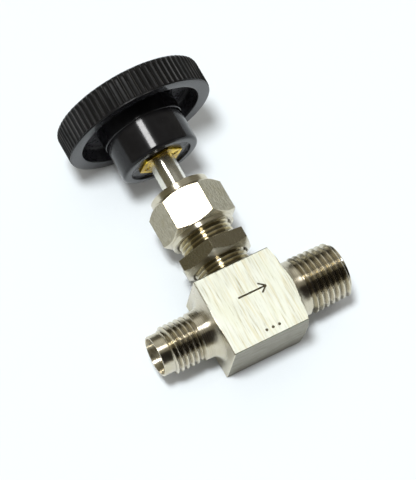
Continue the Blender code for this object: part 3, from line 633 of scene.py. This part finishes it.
def brass():
    """Machined yellow brass, dulled in patches."""
    s = Shading("brass")
    grain = s.noise((3000.0, 3000.0, 3000.0), detail=3.0, roughness=0.7)
    stains = s.noise((520.0, 520.0, 520.0), detail=3.0)
    shade = s.mix(s.remap(stains, 0.35, 0.6), colour(0.84, 0.57, 0.02), colour(0.40, 0.25, 0.01))
    s.set(
        base_color=shade,
        metallic=1.0,
        roughness=s.remap(grain, 0.3, 0.7, 0.14, 0.24),
        normal=s.bump(grain, 0.001 * MM),
    )
    return s.material


def ptfe():
    """White packing, turned from rod."""
    s = Shading("ptfe")
    lines = s.noise((40.0, 40.0, 6000.0), detail=2.0)
    patches = s.noise((400.0, 400.0, 400.0), detail=2.0)
    s.set(
        base_color=s.mix(patches, colour(0.86, 0.86, 0.84), colour(0.78, 0.78, 0.75)),
        roughness=s.remap(patches, 0.3, 0.7, 0.42, 0.58),
        normal=s.bump(lines, 0.004 * MM),
    )
    return s.material


def black_oxide():
    """Oiled black steel."""
    s = Shading("black_oxide")
    grain = s.noise((2400.0, 2400.0, 2400.0), detail=3.0)
    s.set(
        base_color=s.mix(grain, colour(0.035, 0.035, 0.04), colour(0.09, 0.085, 0.08)),
        metallic=1.0,
        roughness=s.remap(grain, 0.3, 0.7, 0.3, 0.5),
        normal=s.bump(grain, 0.003 * MM),
    )
    return s.material


def paint(obj, materials, choose):
    """Gives each face the material whose number choose(face centre, face normal) returns."""
    obj.data.materials.clear()
    for material in materials:
        obj.data.materials.append(material)
    for face in obj.data.polygons:
        face.material_index = choose(face.center, face.normal)


def finish_plain(obj, material):
    """Smooth shading and one material all over."""
    smooth(obj)
    paint(obj, [material], lambda centre, normal: 0)
    return obj


# ---------------------------------------------------------------- pieces


def flare_outline(neck, flare):
    """The fillet from the block's face to a port's neck, as (radius, distance from the stem)."""
    face = BLOCK_HALF_X
    wide = neck + flare
    outline = [(0, face - OVERCUT), (wide, face - OVERCUT), (wide, face)]
    for step in range(1, FLARE_STEPS + 1):
        angle = math.radians(270 - 90 * step / FLARE_STEPS)
        outline.append((wide + flare * math.cos(angle), face + flare + flare * math.sin(angle)))
    return outline


def tube_end():
    """Flare, neck, thread, plain nose with a thin lip, tapered mouth and tube socket."""
    depth = TUBE_THREAD_RADIUS - TUBE_NOSE_RADIUS - NOSE_STEP
    root = TUBE_THREAD_RADIUS - depth
    rows = turned_rows(
        flare_outline(TUBE_NECK_RADIUS, TUBE_FLARE)
        + eased(
            [
                (TUBE_NECK_RADIUS, TUBE_THREAD_FROM - 0.9 * MM),
                (TUBE_NECK_RADIUS, TUBE_THREAD_FROM - 0.45 * MM, 0.2 * MM),
                (root, TUBE_THREAD_FROM, 0.1 * MM),
                (root, TUBE_THREAD_FROM + HAIR),
            ]
        )
    )
    rows += thread_rows(
        TUBE_THREAD_FROM + HAIR,
        TUBE_THREAD_TO,
        TUBE_THREAD_RADIUS,
        depth,
        TUBE_PITCH,
        start=TUBE_THREAD_START,
    )
    mouth_floor = TUBE_END_X - TUBE_MOUTH_DEPTH
    rows += turned_rows(
        eased(
            [
                (root, TUBE_THREAD_TO),
                (TUBE_NOSE_RADIUS, TUBE_THREAD_TO + 0.05 * MM),
                (TUBE_NOSE_RADIUS, TUBE_END_X, 0.12 * MM),
                (TUBE_MOUTH_RADIUS, TUBE_END_X, FINE_ARRIS),
                (TUBE_MOUTH_RADIUS - 0.35 * MM, mouth_floor, 0.2 * MM),
                (TUBE_SOCKET_RADIUS, mouth_floor - 0.5 * MM, 0.1 * MM),
                (TUBE_SOCKET_RADIUS, TUBE_SOCKET_TO),
                (0, TUBE_SOCKET_TO),
            ]
        )
    )
    return along_x(spin("tube_end", rows), -1)


def pipe_end():
    """Flare, neck, taper thread and bored end."""
    root = PIPE_THREAD_RADIUS - PIPE_DEPTH
    thread_end = PIPE_END_X - 0.05 * MM
    end_root = root - PIPE_TAPER * (thread_end - PIPE_THREAD_FROM)
    rows = turned_rows(
        flare_outline(PIPE_NECK_RADIUS, PIPE_FLARE)
        + eased(
            [
                (PIPE_NECK_RADIUS, PIPE_THREAD_FROM - 0.9 * MM),
                (PIPE_NECK_RADIUS, PIPE_THREAD_FROM - 0.35 * MM, 0.2 * MM),
                (root, PIPE_THREAD_FROM, 0.1 * MM),
                (root, PIPE_THREAD_FROM + HAIR),
            ]
        )
    )
    rows += thread_rows(
        PIPE_THREAD_FROM + HAIR,
        thread_end,
        PIPE_THREAD_RADIUS,
        PIPE_DEPTH,
        PIPE_PITCH,
        taper=PIPE_TAPER,
        start=PIPE_THREAD_START,
    )
    rows += turned_rows(
        eased(
            [
                (end_root, thread_end),
                (end_root - 0.05 * MM, PIPE_END_X),
                (PIPE_BORE_RADIUS + BORE_EDGE, PIPE_END_X, FINE_ARRIS),
                (PIPE_BORE_RADIUS, PIPE_END_X - BORE_EDGE, FINE_ARRIS),
                (PIPE_BORE_RADIUS, PIPE_BORE_TO),
                (PASSAGE_RADIUS, PIPE_BORE_TO - OVERCUT),
                (0, PIPE_BORE_TO - OVERCUT),
            ]
        )
    )
    return along_x(spin("pipe_end", rows), 1)


def flow_marks():
    """A stamped flow arrow and, under it, three punch dots: bars that cut into the front face.

    The barbs end a little past the tip, so that no two strokes end at the same point.
    """
    face_y = -BLOCK_HALF_Y - MARK_LIFT
    barb_x = ARROW_TIP_X - ARROW_BARB_LENGTH
    strokes = [
        (ARROW_TAIL_X, ARROW_Z, ARROW_TIP_X, ARROW_Z),
        (barb_x, ARROW_Z + ARROW_BARB_RISE, ARROW_TIP_X + 0.02 * MM, ARROW_Z - 0.02 * MM),
        (barb_x, ARROW_Z - ARROW_BARB_RISE, ARROW_TIP_X + 0.04 * MM, ARROW_Z + 0.03 * MM),
    ]
    cutters = [
        bar("stroke", (x, face_y, z), (to_x, face_y, to_z), STROKE_RADIUS, 14)
        for x, z, to_x, to_z in strokes
    ]
    for number in range(DOT_COUNT):
        x = DOT_FIRST_X + number * DOT_SPACING
        outside = (x, -BLOCK_HALF_Y - OVERCUT, DOT_Z)
        inside = (x, face_y + STROKE_RADIUS, DOT_Z)
        cutters.append(bar("dot", outside, inside, DOT_RADIUS, 20))
    return cutters


def machined_body(bar_steel, port_steel, sawn_and_shaded_steel, stamped_steel, thread_steel):
    """The whole body: block with turned ends, both ports, passages, seat and stamped marks."""
    block = slab("body_machined", (BLOCK_HALF_X, BLOCK_HALF_Y, BLOCK_TOP / 2))
    soften(block, BLOCK_EDGE, 60, 3)
    turned_ends = lathe(
        "turned_ends",
        [
            (0, BLOCK_HALF_X + GAP),
            (FACING_RADIUS, BLOCK_HALF_X + GAP),
            (CORNER_RADIUS, BLOCK_HALF_X - FACING_DEPTH),
            (CORNER_RADIUS, -BLOCK_HALF_X - GAP),
            (0, -BLOCK_HALF_X - GAP),
        ],
    )
    combine(block, along_x(turned_ends, 1), "INTERSECT")
    soften(block)
    for cutter in flow_marks():
        combine(block, cutter, "DIFFERENCE")
    combine(block, clipped(tube_end()), "UNION")
    combine(block, clipped(pipe_end()), "UNION")
    for cutter in body_cutters():
        combine(block, cutter, "DIFFERENCE")
    smooth(block)

    bar_face, turned, sawn_and_shaded, stamped, threaded = range(5)

    def choose(centre, normal):
        if abs(normal.y) > 0.999 and abs(centre.y) > BLOCK_HALF_Y - HAIR:
            return bar_face
        if centre.x > PIPE_THREAD_FROM or TUBE_THREAD_FROM < -centre.x < TUBE_THREAD_TO:
            return threaded
        depth = centre.y + BLOCK_HALF_Y
        if abs(centre.x) < BLOCK_HALF_X / 2 and 0 < depth < MARK_DEPTH:
            return stamped if 0.1 * MM < centre.z < BLOCK_TOP - 0.3 * MM else bar_face
        # the top and underside take the sawn steel, whose dark base is partly painted shade
        if abs(normal.z) > 0.999 and abs(centre.x) < BLOCK_HALF_X:
            return sawn_and_shaded
        return turned

    paint(block, [bar_steel, port_steel, sawn_and_shaded_steel, stamped_steel, thread_steel], choose)
    return block


def clipped(end):
    """The end without what its flare would put outside the bar's faces."""
    bounds = slab("bar_faces", (2 * TUBE_END_X, BLOCK_HALF_Y - HAIR, BLOCK_TOP / 2))
    return combine(end, bounds, "INTERSECT")


def body_cutters():
    stem_bore = lathe(
        "stem_bore",
        [
            (0, BLOCK_TOP + OVERCUT),
            (BONNET_BORE_RADIUS, BLOCK_TOP + OVERCUT),
            (BONNET_BORE_RADIUS, CHAMBER_TOP),
            (CHAMBER_RADIUS, CHAMBER_TOP),
            (CHAMBER_RADIUS, SEAT_Z),
            (SEAT_RADIUS + SEAT_BEVEL, SEAT_Z),
            (SEAT_RADIUS, SEAT_Z - SEAT_BEVEL),
            (SEAT_RADIUS, SEAT_BORE_TO),
            (0, SEAT_BORE_TO),
        ],
        64,
    )
    inlet = bar(
        "inlet_drilling",
        (-TUBE_SOCKET_TO - 0.8 * MM, 0, FLOW_Z),
        (0, 0, FLOW_Z - PASSAGE_RISE),
        PASSAGE_RADIUS,
        48,
    )
    outlet = bar(
        "outlet_drilling",
        (PIPE_BORE_TO + 0.5 * MM, 0, FLOW_Z),
        (SEAT_RADIUS + 0.6 * MM, 0, FLOW_Z + PASSAGE_RISE),
        PASSAGE_RADIUS,
        48,
    )
    return [stem_bore, inlet, outlet, pin_hole()]


def pin_hole():
    radius = (PIN_HIGH.x - PIN_LOW.x) / 2 + GAP
    z = (PIN_LOW.z + PIN_HIGH.z) / 2
    return bar("pin_hole", (0, PIN_LOW.y - GAP, z), (0, BLOCK_HALF_Y + OVERCUT, z), radius, 32)


def threaded_bonnet(steel):
    """The bonnet: foot in the block, outside thread, packing chamber and stem bore."""
    depth = V_THREAD_DEPTH * FINE_PITCH
    root = BONNET_RADIUS - depth
    top, low = BONNET_HIGH.z, BONNET_LOW.z
    shoulder = BLOCK_TOP + 0.1 * MM
    inner = eased(
        [
            (root, top - 0.1 * MM),
            (root - 0.1 * MM, top, 0.03 * MM),
            (PACKING_RADIUS + 0.15 * MM, top),
            (PACKING_RADIUS, top - 0.15 * MM),
            (PACKING_RADIUS, PACKING_FLOOR),
            (STEM_RADIUS + GAP, PACKING_FLOOR),
            (STEM_RADIUS + GAP, PACKING_FLOOR - 0.8 * MM),
            (STEM_THREAD_BORE, PACKING_FLOOR - 1.3 * MM),
            (STEM_THREAD_BORE, low),
            (BONNET_FOOT_RADIUS - 0.2 * MM, low),
            (BONNET_FOOT_RADIUS, low + 0.2 * MM),
            (BONNET_FOOT_RADIUS, shoulder - 0.2 * MM),
            (root, shoulder),
        ]
    )
    rows = thread_rows(shoulder, top - 0.1 * MM, BONNET_RADIUS, depth, FINE_PITCH)
    rows += turned_rows(inner)
    piece = spin("bonnet_threaded", rows)
    combine(piece, pin_hole(), "DIFFERENCE")
    return finish_plain(piece, steel)


def hex_nut(name, low_z, high_z, turn, low_radius, high_radius):
    """A hexagon with turned chamfers down to each given radius, or none if it is past the corners."""
    beyond = HEX_CORNER + 0.2 * MM
    outline = [(0, high_z), (high_radius, high_z)]
    if high_radius < HEX_CORNER:
        outline.append((beyond, high_z - (beyond - high_radius) * CHAMFER_SLOPE))
    if low_radius < HEX_CORNER:
        outline.append((beyond, low_z + (beyond - low_radius) * CHAMFER_SLOPE))
    outline += [(low_radius, low_z), (0, low_z)]
    nut = hex_bar(name, HEX_FLATS, low_z - OVERCUT, high_z + OVERCUT, turn)
    combine(nut, lathe("chamfers", outline), "INTERSECT")
    return soften(nut, NUT_ARRIS, 15, 3)


def panel_nut(flats, round_steel):
    unchamfered = HEX_CORNER + 0.4 * MM
    low, high = PANEL_LOW.z, PANEL_HIGH.z
    nut = hex_nut("panel_nut_hex", low, high, PANEL_NUT_TURN, PANEL_NUT_CHAMFER, unchamfered)
    edge = PANEL_BORE_EDGE
    bore = lathe(
        "panel_bore",
        [
            (0, high + OVERCUT),
            (NUT_BORE + edge + OVERCUT, high + OVERCUT),
            (NUT_BORE, high - edge),
            (NUT_BORE, low + edge),
            (NUT_BORE + edge + OVERCUT, low - OVERCUT),
            (0, low - OVERCUT),
        ],
    )
    combine(nut, bore, "DIFFERENCE")
    smooth(nut)
    paint(nut, [flats, round_steel], flat_or_turned)
    return nut


def flat_or_turned(centre, normal):
    """0 on a nut's upright flats, 1 on its turned faces."""
    outside = Vector((centre.x, centre.y)).length > HEX_FLATS / 2 - 0.02 * MM
    return 0 if abs(normal.z) < 0.05 and outside else 1


def packing_nut(flats, round_steel):
    low, high = PACKING_LOW.z, PACKING_HIGH.z
    hex_low = low + PACKING_COLLAR_HEIGHT
    hex_high = high - PACKING_BAND_HEIGHT
    nut = hex_nut(
        "packing_nut_hex",
        hex_low,
        hex_high,
        PACKING_NUT_TURN,
        PACKING_COLLAR_RADIUS,
        PACKING_BAND_RADIUS,
    )
    middle = (low + high) / 2
    round_part = lathe(
        "packing_round",
        [
            (0, high),
            (PACKING_BAND_RADIUS - 0.05 * MM, high, 0.35 * MM),
            (PACKING_BAND_RADIUS - 0.05 * MM, middle),
            (PACKING_COLLAR_RADIUS - 0.05 * MM, middle - OVERCUT),
            (PACKING_COLLAR_RADIUS - 0.05 * MM, low, 0.3 * MM),
            (0, low),
        ],
    )
    combine(nut, round_part, "UNION")
    roof = high - PACKING_ROOF
    stem_bore = STEM_RADIUS + PACKING_STEM_PLAY
    bore = lathe(
        "packing_bore",
        [
            (0, high + OVERCUT),
            (stem_bore + PACKING_STEM_EDGE + OVERCUT, high + OVERCUT),
            (stem_bore, high - PACKING_STEM_EDGE),
            (stem_bore, roof),
            (NUT_BORE, roof),
            (NUT_BORE, low + PACKING_BORE_EDGE),
            (NUT_BORE + PACKING_BORE_EDGE + OVERCUT, low - OVERCUT),
            (0, low - OVERCUT),
        ],
    )
    combine(nut, bore, "DIFFERENCE")
    smooth(nut)
    paint(nut, [flats, round_steel], flat_or_turned)
    return nut


def spindle(steel):
    """The stem: polished upper part, thread below the packing, and the tip's socket."""
    depth = V_THREAD_DEPTH * FINE_PITCH
    root = STEM_THREAD_RADIUS - depth
    low, high = STEM_LOW.z, STEM_HIGH.z
    lower = eased(
        [
            (0, low + STEM_SOCKET_DEPTH),
            (STEM_SOCKET_RADIUS, low + STEM_SOCKET_DEPTH),
            (STEM_SOCKET_RADIUS, low, FINE_ARRIS),
            (STEM_FOOT_RADIUS, low, 0.1 * MM),
            (STEM_FOOT_RADIUS, STEM_THREAD_FROM - STEM_THREAD_RUNOUT),
            (root, STEM_THREAD_FROM),
        ]
    )
    upper = eased(
        [
            (root, STEM_THREAD_TO),
            (STEM_RADIUS, STEM_THREAD_TO + STEM_THREAD_RUNOUT),
            (STEM_RADIUS, high - STEM_END_CHAMFER, FINE_ARRIS),
            (STEM_RADIUS - STEM_END_CHAMFER, high, FINE_ARRIS),
            (0, high),
        ]
    )
    rows = turned_rows(lower)
    rows += thread_rows(STEM_THREAD_FROM, STEM_THREAD_TO, STEM_THREAD_RADIUS, depth, FINE_PITCH)
    rows += turned_rows(upper)
    return finish_plain(spin("stem_spindle", rows), steel)


def fluted_row(radius, z, share):
    """One ring of the rim: concave flutes between narrow crests, share of their full depth."""
    row = []
    for index in range(FLUTE_COUNT * FLUTE_SAMPLES + 1):
        u = index % FLUTE_SAMPLES / FLUTE_SAMPLES
        dip = 1 - (2 * u - 1) ** 4
        row.append((radius - FLUTE_DEPTH * share * dip, z))
    return row


def knob_outline():
    """The knob's plain turned shape from the rim's foot, through the cavity, to the hub's face."""
    return eased(
        [
            (RIM_RADIUS - FLUTE_DEPTH / 2, RIM_Z + 0.3 * MM),
            (RIM_RADIUS - FLUTE_DEPTH / 2, RIM_Z, 0.22 * MM),
            (CAVITY_RADIUS, RIM_Z, 0.25 * MM),
            (CAVITY_RADIUS - 0.4 * MM, CAVITY_Z, 1.0 * MM),
            (HUB_RING_RADIUS + 0.1 * MM, CAVITY_Z, 1.0 * MM),
            (HUB_RING_RADIUS, HUB_RING_Z, 0.25 * MM),
            (HUB_RADIUS, HUB_RING_Z - 0.12 * MM, 0.1 * MM),
            (HUB_RADIUS, HUB_Z, 0.8 * MM),
            (HUB_RECESS_RADIUS, HUB_Z, 0.12 * MM),
            (HUB_RECESS_RADIUS - 0.1 * MM, HUB_Z + HUB_RECESS_DEPTH, 0.15 * MM),
            (0, HUB_Z + HUB_RECESS_DEPTH),
        ],
        5,
    )


def moulded_knob(glossy, worn_and_sheen, dull_and_lit):
    """The knob: dished top, rounded shoulder, fluted rim, hollow underside and long hub."""
    top = KNOB_HIGH.z
    coarse = 2 * FLUTE_COUNT
    shoulder = RIM_RADIUS - TOP_ROUND
    rows = turned_rows(
        eased(
            [
                (0, top - TOP_DISH_DEPTH),
                (TOP_DISH_RADIUS - 1.0 * MM, top - TOP_DISH_DEPTH, 0.8 * MM),
                (TOP_DISH_RADIUS, top, 0.5 * MM),
                (shoulder, top - TOP_FALL),
            ]
        ),
        coarse,
    )
    centre_z = top - TOP_FALL - TOP_ROUND
    for degrees in range(75, -1, -15):
        angle = math.radians(degrees)
        share = math.cos(angle) ** 2
        z = centre_z + TOP_ROUND * math.sin(angle)
        rows.append(fluted_row(shoulder + TOP_ROUND * math.cos(angle), z, share))
    rows.append(fluted_row(RIM_RADIUS, RIM_Z + 0.62 * MM, 1.0))
    rows.append(fluted_row(RIM_RADIUS, RIM_Z + 0.48 * MM, 0.9))
    rows.append(fluted_row(RIM_RADIUS - 0.06 * MM, RIM_Z + 0.35 * MM, 0.45))
    rows += turned_rows(knob_outline(), coarse)
    knob = spin("knob_moulding", rows)
    pocket = hex_bar(
        "insert_pocket",
        INSERT_FLATS + 2 * GAP,
        HUB_Z - OVERCUT,
        INSERT_HIGH.z + GAP,
        INSERT_TURN,
    )
    combine(knob, pocket, "DIFFERENCE")
    combine(knob, screw_hole(HUB_RADIUS + OVERCUT), "DIFFERENCE")
    smooth(knob, math.radians(35))
    grip = RIM_RADIUS - 1.5 * FLUTE_DEPTH

    polished, rubbed_and_sheen, sheltered = range(3)

    def choose(centre, normal):
        radius = Vector((centre.x, centre.y)).length
        if radius > grip:
            return rubbed_and_sheen
        # the cavity and recess take the lighter copy: painted light in their shade
        in_cavity = HUB_RING_RADIUS + GAP < radius < CAVITY_RADIUS - GAP
        in_recess = radius < HUB_RECESS_RADIUS - GAP
        return sheltered if (in_cavity or in_recess) and centre.z < CAVITY_Z + GAP else polished

    paint(knob, [glossy, worn_and_sheen, dull_and_lit], choose)
    return knob


def screw_hole(reach):
    radius = (SCREW_HIGH.x - SCREW_LOW.x) / 2 + GAP
    z = (SCREW_LOW.z + SCREW_HIGH.z) / 2
    return bar("screw_hole", (0, 0, z), (0, reach, z), radius, 48)


def brass_insert(material):
    """The hexagonal insert: stem hole with a broken edge and two ring-shaped stake marks."""
    low, high = INSERT_LOW.z, INSERT_HIGH.z
    insert = hex_bar("insert_brass", INSERT_FLATS, low, high, INSERT_TURN)
    soften(insert, INSERT_EDGE, 30, 3)
    hole_top = STEM_HIGH.z + 0.3 * MM
    hole = lathe(
        "stem_hole",
        [
            (0, hole_top),
            (STEM_RADIUS + GAP, hole_top),
            (STEM_RADIUS + GAP, low + INSERT_EDGE),
            (STEM_RADIUS + GAP + INSERT_EDGE + OVERCUT, low - OVERCUT),
            (0, low - OVERCUT),
        ],
    )
    combine(insert, hole, "DIFFERENCE")
    for side in (0, math.pi):
        turn = INSERT_TURN + side
        centre = Vector((math.cos(turn), math.sin(turn), 0)) * STAKE_FROM_AXIS
        mark = lathe(
            "stake_mark",
            [
                (STAKE_OUTER_RADIUS, low - OVERCUT),
                (STAKE_OUTER_RADIUS, low),
                ((STAKE_OUTER_RADIUS + STAKE_INNER_RADIUS) / 2, low + STAKE_DEPTH),
                (STAKE_INNER_RADIUS, low),
                (STAKE_INNER_RADIUS, low - OVERCUT),
            ],
            32,
            closed=True,
        )
        mark.data.transform(Matrix.Translation(centre))
        combine(insert, mark, "DIFFERENCE")
    combine(insert, screw_hole(INSERT_FLATS), "DIFFERENCE")
    return finish_plain(insert, material)


def lay_back(obj, low, high):
    """Turns an object made from Z = 0 up, so that it runs along +Y through the box from low to high."""
    turn = Matrix.Rotation(math.radians(-90), 4, "X")
    obj.data.transform(Matrix.Translation((0, low.y, (low.z + high.z) / 2)) @ turn)


def set_screw(material):
    """A socket set screw: threaded outside, chamfered ends, hexagonal socket facing out."""
    radius = (SCREW_HIGH.x - SCREW_LOW.x) / 2
    length = SCREW_HIGH.y - SCREW_LOW.y
    root = radius - SCREW_THREAD_DEPTH
    low, high = SCREW_END, length - SCREW_END
    rows = turned_rows([(0, 0), (root, 0)], 64)
    rows += thread_rows(low, high, radius, SCREW_THREAD_DEPTH, SCREW_PITCH, segments=64)
    rows += turned_rows([(root, length), (0, length)], 64)
    screw = spin("set_screw_black", rows)
    floor_z = length - SCREW_SOCKET_DEPTH
    socket = hex_bar("socket", SCREW_SOCKET_FLATS, floor_z, length + OVERCUT, 0)
    combine(screw, socket, "DIFFERENCE")
    lay_back(screw, SCREW_LOW, SCREW_HIGH)
    return finish_plain(screw, material)


def lock_pin(steel):
    """The dowel's chamfered end, flush in the block's back face."""
    radius = (PIN_HIGH.x - PIN_LOW.x) / 2
    length = PIN_HIGH.y - PIN_LOW.y
    edge = 0.15 * MM
    pin = lathe(
        "lock_pin_dowel",
        [(0, length), (radius, length, edge), (radius, 0, edge), (0, 0)],
        48,
    )
    lay_back(pin, PIN_LOW, PIN_HIGH)
    return finish_plain(pin, steel)


def place(piece, body, node):
    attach(piece, body)
    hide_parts(node)


def build_pieces():
    port_steel = turned_steel("port_steel", "X")
    axis_steel = turned_steel("axis_steel", "Z")
    # the bonnet's thread roots take painted shade
    bonnet_steel = turned_steel("bonnet_steel", "Z", (0.62, 0.56, 0.41), 0.2, painted_root_shade=0.9)
    stem_steel = turned_steel("stem_steel", "Z", (0.78, 0.76, 0.70), 0.24)
    flats = hex_steel()
    glossy = phenolic("phenolic_gloss", 0.13, 0.27, 0.012)
    # the rim's crests take wear and a painted highlight
    worn_and_sheen = phenolic("phenolic_worn_and_sheen", 0.36, 0.22, 0.0055, wear_and_sheen=0.8)
    # painted light: the cavity and recess get a lighter base than the rest of the knob, which lightens
    # their shade
    dull_and_lit = phenolic("phenolic_dull_and_lit", 0.30, 0.30, 0.045)
    # the port threads' roots take painted shade
    thread_steel = turned_steel("thread_steel", "X", roughness=0.22, painted_root_shade=0.7)
    body = machined_body(brushed_bar(), port_steel, sawn_and_shaded_steel(), stamped_steel(), thread_steel)
    place(body, "valve", "valve_body")
    place(threaded_bonnet(bonnet_steel), "valve", "bonnet")
    place(lock_pin(axis_steel), "valve", "bonnet_lock_pin")
    place(panel_nut(flats, axis_steel), "panel_nut", "panel_nut")
    place(packing_nut(flats, axis_steel), "packing_nut", "packing_nut")
    place(spindle(stem_steel), "handle", "stem")
    place(moulded_knob(glossy, worn_and_sheen, dull_and_lit), "handle", "knob")
    place(brass_insert(brass()), "handle", "knob_insert")
    place(set_screw(black_oxide()), "handle", "knob_set_screw")
    finish_hidden_nodes(axis_steel, ptfe())


def finish_hidden_nodes(steel, white):
    """The pieces inside keep their CAD shape and take the same steel and packing materials."""
    for name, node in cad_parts.items():
        if node.hide_render:
            continue
        soft = name.startswith(("bonnet_seal", "packing_v", "packing_upper", "packing_lower"))
        node.data.materials.clear()
        node.data.materials.append(white if soft else steel)


# ---------------------------------------------------------------- stage


def direction_lobe(s, direction, inner, outer, stretch):
    """1 within inner degrees of a direction, falling to 0 at outer degrees.

    A stretch below 1 makes the lobe longer along X.
    """
    squeeze = Vector((stretch, 1, 1))
    squeezed = s.add("ShaderNodeVectorMath", {0: s.point, 1: squeeze}, operation="MULTIPLY")
    unit = s.add("ShaderNodeVectorMath", {0: squeezed.outputs[0]}, operation="NORMALIZE")
    dot = s.add(
        "ShaderNodeVectorMath",
        {0: unit.outputs[0], 1: (direction * squeeze).normalized()},
        operation="DOT_PRODUCT",
    )
    low, high = math.cos(math.radians(outer)), math.cos(math.radians(inner))
    return s.remap(dot.outputs["Value"], low, high)


class WorldShading(Shading):
    """The same calls for the world's nodes; point is the direction that a ray looks in."""

    def __init__(self, name):
        self.world = bpy.data.worlds.new(name)
        self.world.use_nodes = True
        self.tree = self.world.node_tree
        self.point = self.add("ShaderNodeTexCoord").outputs["Generated"]


def build_world():
    """The studio that the metal mirrors. The camera itself sees a plain backdrop.

    The valve lies on its back, so overhead is -Y, the far wall is at +Z and the near one at -Z.
    """
    s = WorldShading("studio")
    left_wall = direction_lobe(s, Vector((-0.91, -0.30, 0.28)), 25, 50, 1.0)
    near_wall = direction_lobe(s, Vector((0.27, -0.10, -0.95)), 15, 32, 0.5)
    far_wall = direction_lobe(s, Vector((0.27, -0.05, 0.96)), 8, 15, 0.6)
    white_screen = direction_lobe(s, Vector((0.27, -0.66, 0.70)), 14, 24, 0.8)
    dark_strip = direction_lobe(s, Vector((0.27, -0.71, -0.65)), 26, 31, 0.12)
    soft_box = direction_lobe(s, LAMP_DIRECTION, 10, 17, 1.0)
    shade = s.mix(left_wall, colour(0.25, 0.24, 0.20), colour(0.19, 0.175, 0.12))
    shade = s.mix(near_wall, shade, colour(0.24, 0.23, 0.185))
    shade = s.mix(far_wall, shade, colour(0.11, 0.11, 0.10))
    shade = s.mix(white_screen, shade, colour(0.80, 0.80, 0.74))
    shade = s.mix(dark_strip, shade, colour(0.02, 0.018, 0.017))
    shade = s.mix(soft_box, shade, colour(0.9, 0.92, 0.88))
    seen = s.tree.nodes["Background"]
    s.feed(seen.inputs["Color"], shade)
    plain = s.add("ShaderNodeBackground", {"Color": colour(*BACKDROP)})
    camera_ray = s.add("ShaderNodeLightPath").outputs["Is Camera Ray"]
    mixed = s.add(
        "ShaderNodeMixShader",
        {0: camera_ray, 1: seen.outputs[0], 2: plain.outputs[0]},
    )
    s.feed(s.tree.nodes["World Output"].inputs["Surface"], mixed.outputs[0])
    bpy.context.scene.world = s.world


def build_lamp(name, direction, energy, width, floor_only):
    """A soft lamp that lights either the floor alone or everything but the floor."""
    lamp = bpy.data.lights.new(name, "SUN")
    lamp.energy = energy
    lamp.angle = math.radians(width)
    obj = new_object(name, lamp)
    obj.rotation_mode = "QUATERNION"
    obj.rotation_quaternion = direction.to_track_quat("Z", "Y")
    receivers = bpy.data.collections.new(name + "_receivers")
    receivers.objects.link(bpy.data.objects["floor"])
    state = "INCLUDE" if floor_only else "EXCLUDE"
    receivers.collection_objects[0].light_linking.link_state = state
    obj.light_linking.receiver_collection = receivers


def floor_up():
    """Square to the sheet that the block's back edge and the knob's rim both touch."""
    lean = math.atan2(RIM_RADIUS - BLOCK_HALF_Y, KNOB_HIGH.z - TOP_ROUND)
    return Vector((0, -math.cos(lean), math.sin(lean)))


def build_floor():
    """The white sheet that the valve lies on."""
    up = floor_up()
    solid = bmesh.new()
    bmesh.ops.create_grid(solid, x_segments=1, y_segments=1, size=FLOOR_HALF_SIZE)
    mesh = bpy.data.meshes.new("floor")
    solid.to_mesh(mesh)
    solid.free()
    floor = new_object("floor", mesh)
    floor.rotation_mode = "QUATERNION"
    floor.rotation_quaternion = up.to_track_quat("Z", "Y")
    floor.location = Vector((0, BLOCK_HALF_Y, 0)) - up * FLOOR_GAP
    floor.data.materials.append(floor_material())


def floor_material():
    """White paper that glows where it is open; clear to the camera from behind and from edge on."""
    s = Shading("floor_white")
    paper = s.add("ShaderNodeBsdfDiffuse", {"Color": colour(*FLOOR_PAPER)})
    open_sky = s.add("ShaderNodeAmbientOcclusion", {"Distance": SHADOW_REACH}, samples=8)
    lit = s.remap(open_sky.outputs["AO"], 0.0, 0.7)
    dim = s.mix(lit, colour(0.0, 0.0, 0.0), colour(*FLOOR_GLOW))
    glow = s.add("ShaderNodeEmission", {"Color": dim})
    seen = s.add("ShaderNodeAddShader", {0: paper.outputs[0], 1: glow.outputs[0]})
    clear = s.add("ShaderNodeBsdfTransparent")
    geometry = s.add("ShaderNodeNewGeometry")
    facing = s.add(
        "ShaderNodeVectorMath",
        {0: geometry.outputs["Normal"], 1: geometry.outputs["Incoming"]},
        operation="DOT_PRODUCT",
    ).outputs["Value"]
    edge_on = s.remap(facing, 0.15, 0.5, 1.0, 0.0)
    hidden = s.maths("MAXIMUM", geometry.outputs["Backfacing"], edge_on)
    camera_ray = s.add("ShaderNodeLightPath").outputs["Is Camera Ray"]
    mixed = s.add(
        "ShaderNodeMixShader",
        {0: s.maths("MULTIPLY", hidden, camera_ray), 1: seen.outputs[0], 2: clear.outputs[0]},
    )
    s.feed(s.tree.nodes["Material Output"].inputs["Surface"], mixed.outputs[0])
    return s.material


def build_camera():
    azimuth = math.radians(CAMERA_AZIMUTH)
    elevation = math.radians(CAMERA_ELEVATION)
    back = Vector(
        (
            math.sin(azimuth) * math.cos(elevation),
            -math.cos(azimuth) * math.cos(elevation),
            math.sin(elevation),
        )
    )
    data = bpy.data.cameras.new("camera")
    data.lens = CAMERA_LENS
    data.clip_start, data.clip_end = CLIP_RANGE
    camera = new_object("camera", data)
    camera.rotation_mode = "QUATERNION"
    level = (-back).to_track_quat("-Z", "Y")
    roll = Matrix.Rotation(math.radians(-CAMERA_ROLL), 4, "Z").to_quaternion()
    camera.rotation_quaternion = level @ roll
    camera.location = CAMERA_AIM + back * CAMERA_DISTANCE
    bpy.context.scene.camera = camera
    bpy.context.scene.view_settings.view_transform = "Standard"


build_pieces()
build_world()
build_floor()
build_lamp("metal_key", LAMP_DIRECTION, LAMP_POWER, LAMP_WIDTH, False)
build_lamp("floor_key", FLOOR_LAMP_DIRECTION, FLOOR_LAMP_POWER, FLOOR_LAMP_WIDTH, True)
build_camera()
